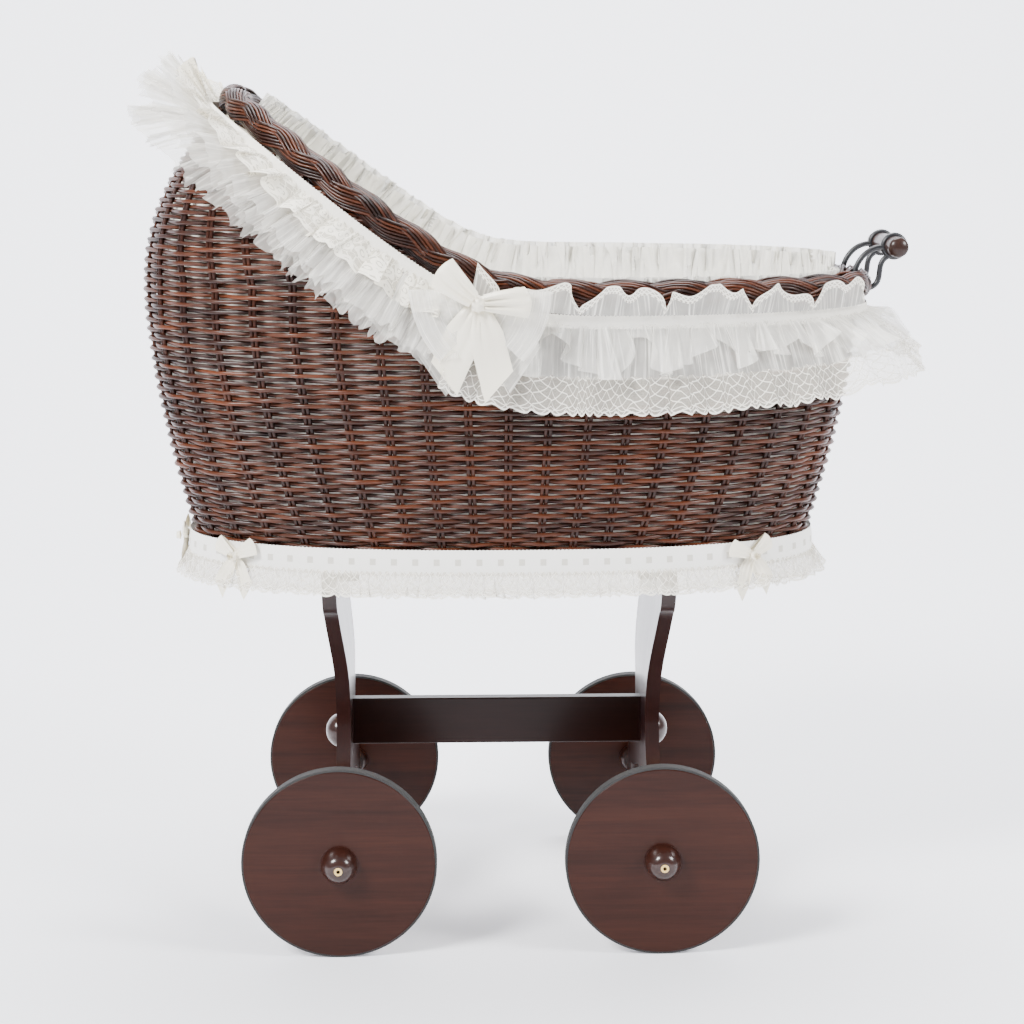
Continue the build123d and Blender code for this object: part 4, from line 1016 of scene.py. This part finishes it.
for j, t in enumerate(beading_rows):
    picot = 0.0008 * abs(np.sin(math.pi * run / 0.0032)) if j in (0, 10) else 0.0
    height = 0.009 + (picot if j == 0 else 0) - (0.020 + (picot if j == 10 else 0)) * t
    swell = 0.0052 + 0.0009 * math.sin(math.pi * t) + 0.0012 * t
    points[:, j] = place + out * swell + up * np.broadcast_to(height, len(run))[:, None]
    cloth[:, j] = np.stack([run, np.full(len(run), 0.020 * (1 - t))], -1)
points[-1] = points[0]
skirt_tape = make_sheet("skirt_beading", points, cloth, beading)
hang_cloth(skirt_tape, replaces="skirt_tape")
skirt_lace = lacy("skirt_netted_lace", (0.95, 0.915, 0.82), Cell=0.0088, Thread=0.060, Ground=0.42)
skirt_sheets = []
for layer, (drop, seed, lean) in enumerate([(0.0225, 71, 22), (0.0195, 77, 10)]):
    points, cloth = frill(skirt_line, drop, math.radians(lean), (0.0062 - 0.001 * layer, -0.0085), 0.0235,
                          0.0022, seed, rows=9,
                          scallop=(0.0125, 0.0026), fullness=1.7, lift_out=1.0, sway=1.0)
    points[-1] = points[0]
    skirt_sheets.append(make_sheet(f"skirt_{layer}", points, cloth, skirt_lace))
skirt = together("skirt_lace", skirt_sheets)
hang_cloth(skirt, replaces="skirt_lace_frill")

# ---------------------------------------------------------------- bows
# Cream satin ribbon tied in bows: two gathered loops, a knot and two slanted tails,
# the big ones backed by loops of sheer organza; small ones with a rolled rosette.
satin, satin_shader = shaded("cream_satin", Base_Color=(0.95, 0.89, 0.73, 1), Sheen_Weight=0.15,
                             Anisotropic=0.7)
satin_place = satin.node_tree.nodes.new("ShaderNodeUVMap")
satin_floats = add_node(satin.node_tree, "ShaderNodeMapping", [("Scale", (40.0, 900.0, 1.0))])
satin_lines = add_node(satin.node_tree, "ShaderNodeTexNoise", [("Scale", 1.0), ("Detail", 2.0)])
satin_gloss = add_node(satin.node_tree, "ShaderNodeMapRange", [("To Min", 0.24), ("To Max", 0.42)])
link(satin.node_tree, (satin_place.outputs[0], satin_floats.inputs["Vector"]),
     (satin_floats.outputs[0], satin_lines.inputs["Vector"]),
     (satin_lines.outputs["Fac"], satin_gloss.inputs["Value"]),
     (satin_gloss.outputs[0], satin_shader.inputs["Roughness"]))


def ribbon_loop(turn, long, wide, deep, knot_wide, creases, lift=0.0):
    """One loop of ribbon leaving the knot in a direction, and coming back behind itself."""
    a = np.linspace(0.02, 0.98, 33)
    v = np.linspace(-0.5, 0.5, 13)
    swell = np.sin(math.pi * a)
    out_to = long * swell ** 0.75
    width = knot_wide + (wide - knot_wide) * swell ** 0.6
    points = np.zeros((len(a), len(v), 3))
    for j, side in enumerate(v):
        crease = creases * (1 - swell ** 0.8 * 0.85) * math.cos(6 * math.pi * side)
        belly = deep * np.cos(math.pi * a) * (1 - 0.45 * (2 * side) ** 2 * swell) + crease
        beyond = out_to * (1 - 0.10 * (2 * side) ** 2)
        across = side * width
        points[:, j] = np.stack([beyond * math.cos(turn) - across * math.sin(turn),
                                 beyond * math.sin(turn) + across * math.cos(turn) + lift * swell,
                                 deep * 1.05 + belly], -1)
    cloth = np.stack(np.broadcast_arrays((a * long * 2.4)[:, None], (v * wide)[None, :]), -1)
    return points, cloth


def ribbon_tail(turn, long, wide, knot_wide, wave, slant, start=0.0):
    """A tail hanging from the knot, cut on a slant."""
    a = np.linspace(0, 1, 30)
    v = np.linspace(-0.5, 0.5, 11)
    width = knot_wide + (wide - knot_wide) * np.clip(a / 0.45, 0, 1) ** 0.7
    points = np.zeros((len(a), len(v), 3))
    for j, side in enumerate(v):
        reach = long * a * (1 + slant * side)
        crease = 0.0018 * (1 - a) ** 1.5 * math.cos(6 * math.pi * side)
        rise = wave * (np.sin(math.pi * a * 1.6 + 0.5) - 0.48) + 0.0015 * side * np.sin(5 * a) + crease
        across = side * width
        points[:, j] = np.stack([reach * math.cos(turn) - across * math.sin(turn),
                                 reach * math.sin(turn) + across * math.cos(turn), start + rise], -1)
    cloth = np.stack(np.broadcast_arrays((a * long)[:, None], (v * wide)[None, :]), -1)
    return points, cloth


def ribbon_knot(long, high, deep):
    """The ribbon's turn round the middle, pinched into a soft bead."""
    a = np.linspace(0, 2 * math.pi, 33)
    v = np.linspace(-1, 1, 9)
    points = np.zeros((len(a), len(v), 3))
    for j, side in enumerate(v):
        pinch = 1 - 0.22 * side ** 2 + 0.05 * math.cos(7 * side)
        points[:, j] = np.stack([np.full(len(a), side * long / 2), np.cos(a) * high / 2 * pinch,
                                 deep * 0.5 * (1.1 + np.sin(a) * pinch)], -1)
    cloth = np.stack(np.broadcast_arrays((a * high / 4)[:, None], (v * long / 2)[None, :]), -1)
    return points, cloth


def place_ribbons(name, parts, middle, right, up, finish):
    """Stands ribbon parts on a plane given by its right and up directions, and joins them."""
    right, up = np.array(right, float), np.array(up, float)
    front = np.cross(right, up)
    made = [make_sheet(f"{name}_{k}", middle + p[..., :1] * right + p[..., 1:2] * up + p[..., 2:] * front, c,
                       finish)
            for k, (p, c) in enumerate(parts)]
    return together(name, made)


def flipped(part):
    """The same ribbon surface with its other face outward."""
    return part[0][:, ::-1], part[1][:, ::-1]


def leaning(degrees, mirror):
    """A ribbon's direction, turned over for the far side's bow."""
    return math.radians(degrees if mirror > 0 else 180 - degrees)


bow_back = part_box("bow_near")[1].y
knot_z = float(rim_height(bow_x)) + seam_top - 0.001
for side, way in (("near", -1), ("far", 1)):
    right = (-way, 0, 0)
    mirror = -way
    middle = np.array([bow_x, way * (bow_back * -1 - 0.0005), knot_z])
    satin_parts = [
        ribbon_loop(leaning(143, mirror), 0.038, 0.027, 0.0062, 0.009, 0.0022, 0.003),
        ribbon_loop(leaning(6, mirror), 0.041, 0.024, 0.0062, 0.009, 0.0026, -0.003),
        ribbon_tail(leaning(-114, mirror), 0.064, 0.029, 0.009, 0.0048, 0.25 * mirror, 0.0022),
        ribbon_tail(leaning(-76, mirror), 0.067, 0.027, 0.009, 0.0042, -0.28 * mirror, 0.0034),
        ribbon_knot(0.010, 0.013, 0.0125)]
    bow = place_ribbons(f"satin_bow_{side}", [flipped(p) for p in satin_parts], middle, right, (0, 0, 1),
                        satin)
    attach(bow, "root")
    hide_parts(f"bow_{side}")
    sheer_parts = [
        ribbon_loop(leaning(203, mirror), 0.050, 0.060, 0.0030, 0.014, 0.0016),
        ribbon_loop(leaning(-22, mirror), 0.055, 0.058, 0.0030, 0.014, 0.0016),
        ribbon_tail(leaning(-124, mirror), 0.066, 0.040, 0.012, 0.0026, 0.25 * mirror, 0.001),
        ribbon_tail(leaning(-55, mirror), 0.064, 0.040, 0.012, 0.0026, -0.25 * mirror, 0.001)]
    behind = middle - np.array([0, way * 0.0052, 0])
    sheer = place_ribbons(f"sheer_bow_{side}", [flipped(p) for p in sheer_parts], behind, right, (0, 0, 1),
                          organza)
    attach(sheer, "root")


def rolled_rosette(radius, high):
    """A ribbon rolled into a rose, standing off its base."""
    a = np.linspace(0, 2.6 * 2 * math.pi, 90)
    v = np.linspace(0, 1, 6)
    r = radius * (0.16 + 0.84 * a / a[-1])
    points = np.zeros((len(a), len(v), 3))
    for j, t in enumerate(v):
        open_out = r * (0.82 + 0.25 * t) + 0.0003 * np.sin(3 * a)
        points[:, j] = np.stack([open_out * np.cos(a), open_out * np.sin(a),
                                 np.full(len(a), high * t) - 0.0012 * a / a[-1] * t], -1)
    cloth = np.stack(np.broadcast_arrays((a * radius * 0.5)[:, None], (v * high)[None, :]), -1)
    return points, cloth


small_parts, rose_parts = [], []
for x, y_way in ((-0.25, -1), (-0.25, 1), (0.165, -1), (0.165, 1), (None, 0)):
    angle = math.pi if x is None else float(np.interp(
        0, *zip(*sorted((wall_point(a, base_z)[0] - x, a) for a in np.linspace(0.02, math.pi - 0.02, 400)))))
    if y_way > 0:
        angle = 2 * math.pi - angle
    place, out, up, along = skirt_frame(np.array([angle]))
    middle = place[0] + out[0] * 0.0125 + np.array([0, 0, -0.001])
    right, up_way = along[0] * [1, 1, 0], np.array([0.0, 0.0, 1.0])
    tilt = luck.uniform(-6, 6)
    bow_parts = [ribbon_loop(math.radians(152 + tilt), 0.0225, 0.015, 0.0026, 0.005, 0.0006),
                 ribbon_loop(math.radians(25 + tilt), 0.0225, 0.015, 0.0026, 0.005, 0.0006),
                 ribbon_tail(math.radians(-118 + tilt), 0.032, 0.0145, 0.005, 0.0018, 0.3, 0.0016),
                 ribbon_tail(math.radians(-62 + tilt), 0.034, 0.0135, 0.005, 0.0018, -0.3, 0.0016),
                 ribbon_knot(0.0065, 0.008, 0.0062)]
    small_parts.append(place_ribbons(f"small_bow_{len(small_parts)}", [flipped(p) for p in bow_parts],
                                     middle, right,
                                     up_way, satin))
    rose_parts.append(place_ribbons(f"rose_{len(rose_parts)}", [rolled_rosette(0.0044, 0.0042)],
                                    middle + out[0] * 0.0060, right, up_way, satin))
small_bows = together("small_satin_bows", small_parts)
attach(small_bows, "root")
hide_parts("skirt_bows")
roses = together("ribbon_rosettes", rose_parts)
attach(roses, "root")
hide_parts("skirt_rosettes")

# ---------------------------------------------------------------- mattress
# A thin foam pad in a cotton cover, piped along its upper and lower seams; it
# swells between the seams and dips where the cover is drawn down.
pad_low, pad_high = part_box("mattress")
pad_angle = np.linspace(0, 2 * math.pi, 241)[:-1]
pad_inset = wall_thick + 0.0075
pad_rows = []
profile = [(0.0, -0.055), (0.0, -0.03), (0.0, -0.012), (0.0015, -0.004), (0.005, -0.0005), (0.012, 0.0015),
           (0.018, 0.0020), (0.024, 0.0015), (0.0305, -0.0005), (0.0335, -0.0045), (0.0350, -0.012),
           (0.0358, -0.024),
           (0.0362, -0.045)]
for height, over in profile:
    pucker = 0.0007 * np.sin(40 * pad_angle + 3 * np.sin(7 * pad_angle)) * (0.3 if over < -0.01 else 1)
    ring_z = pad_low.z + height * (pad_high.z - pad_low.z) / 0.0362
    pad_rows.append(wall_point(pad_angle, np.full(len(pad_angle), ring_z), pad_inset - over + pucker))
pad_points = np.stack(pad_rows, 1)
pad_mesh = bmesh.new()
grid = [[pad_mesh.verts.new(pad_points[i, j]) for j in range(len(profile))] for i in range(len(pad_angle))]
count = len(pad_angle)
for i in range(count):
    for j in range(len(profile) - 1):
        pad_mesh.faces.new((grid[i][j], grid[i][j + 1], grid[(i + 1) % count][j + 1],
                            grid[(i + 1) % count][j]))
for j, flip in ((0, 1), (len(profile) - 1, -1)):
    middle_z = pad_points[:, j, 2].mean() + (0.0012 if j else 0.0)
    inner = []
    for share in (0.66, 0.33):
        ring_verts = []
        for p in pad_points[:, j]:
            dimple = 0.0006 * math.sin(9 * p[0] / 0.05) * math.sin(7 * p[1] / 0.05)
            ring_verts.append(pad_mesh.verts.new(
                (basket_x + (p[0] - basket_x) * share, p[1] * share, middle_z + dimple)))
        inner.append(ring_verts)
    hub = pad_mesh.verts.new((basket_x, 0, middle_z + 0.0004))
    rings_here = [[g[j] for g in grid]] + inner
    for a_ring, b_ring in zip(rings_here, rings_here[1:]):
        for i in range(count):
            k = (i + 1) % count
            loop = (a_ring[i], a_ring[k], b_ring[k], b_ring[i])
            pad_mesh.faces.new(loop[::-flip])
    for i in range(count):
        loop = (inner[-1][i], inner[-1][(i + 1) % count], hub)
        pad_mesh.faces.new(loop[::-flip])
bmesh.ops.recalc_face_normals(pad_mesh, faces=pad_mesh.faces)
pad_uv = pad_mesh.loops.layers.uv.new("cloth")
for face in pad_mesh.faces:
    face.smooth = True
    for corner in face.loops:
        corner[pad_uv].uv = (corner.vert.co.x, corner.vert.co.y + corner.vert.co.z)
pad_data = bpy.data.meshes.new("mattress_pad")
pad_mesh.to_mesh(pad_data)
pad_mesh.free()
pad_data.materials.append(cream_cotton)
pad = bpy.data.objects.new("mattress_pad", pad_data)
bpy.context.scene.collection.objects.link(pad)
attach(pad, "root")
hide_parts("mattress")
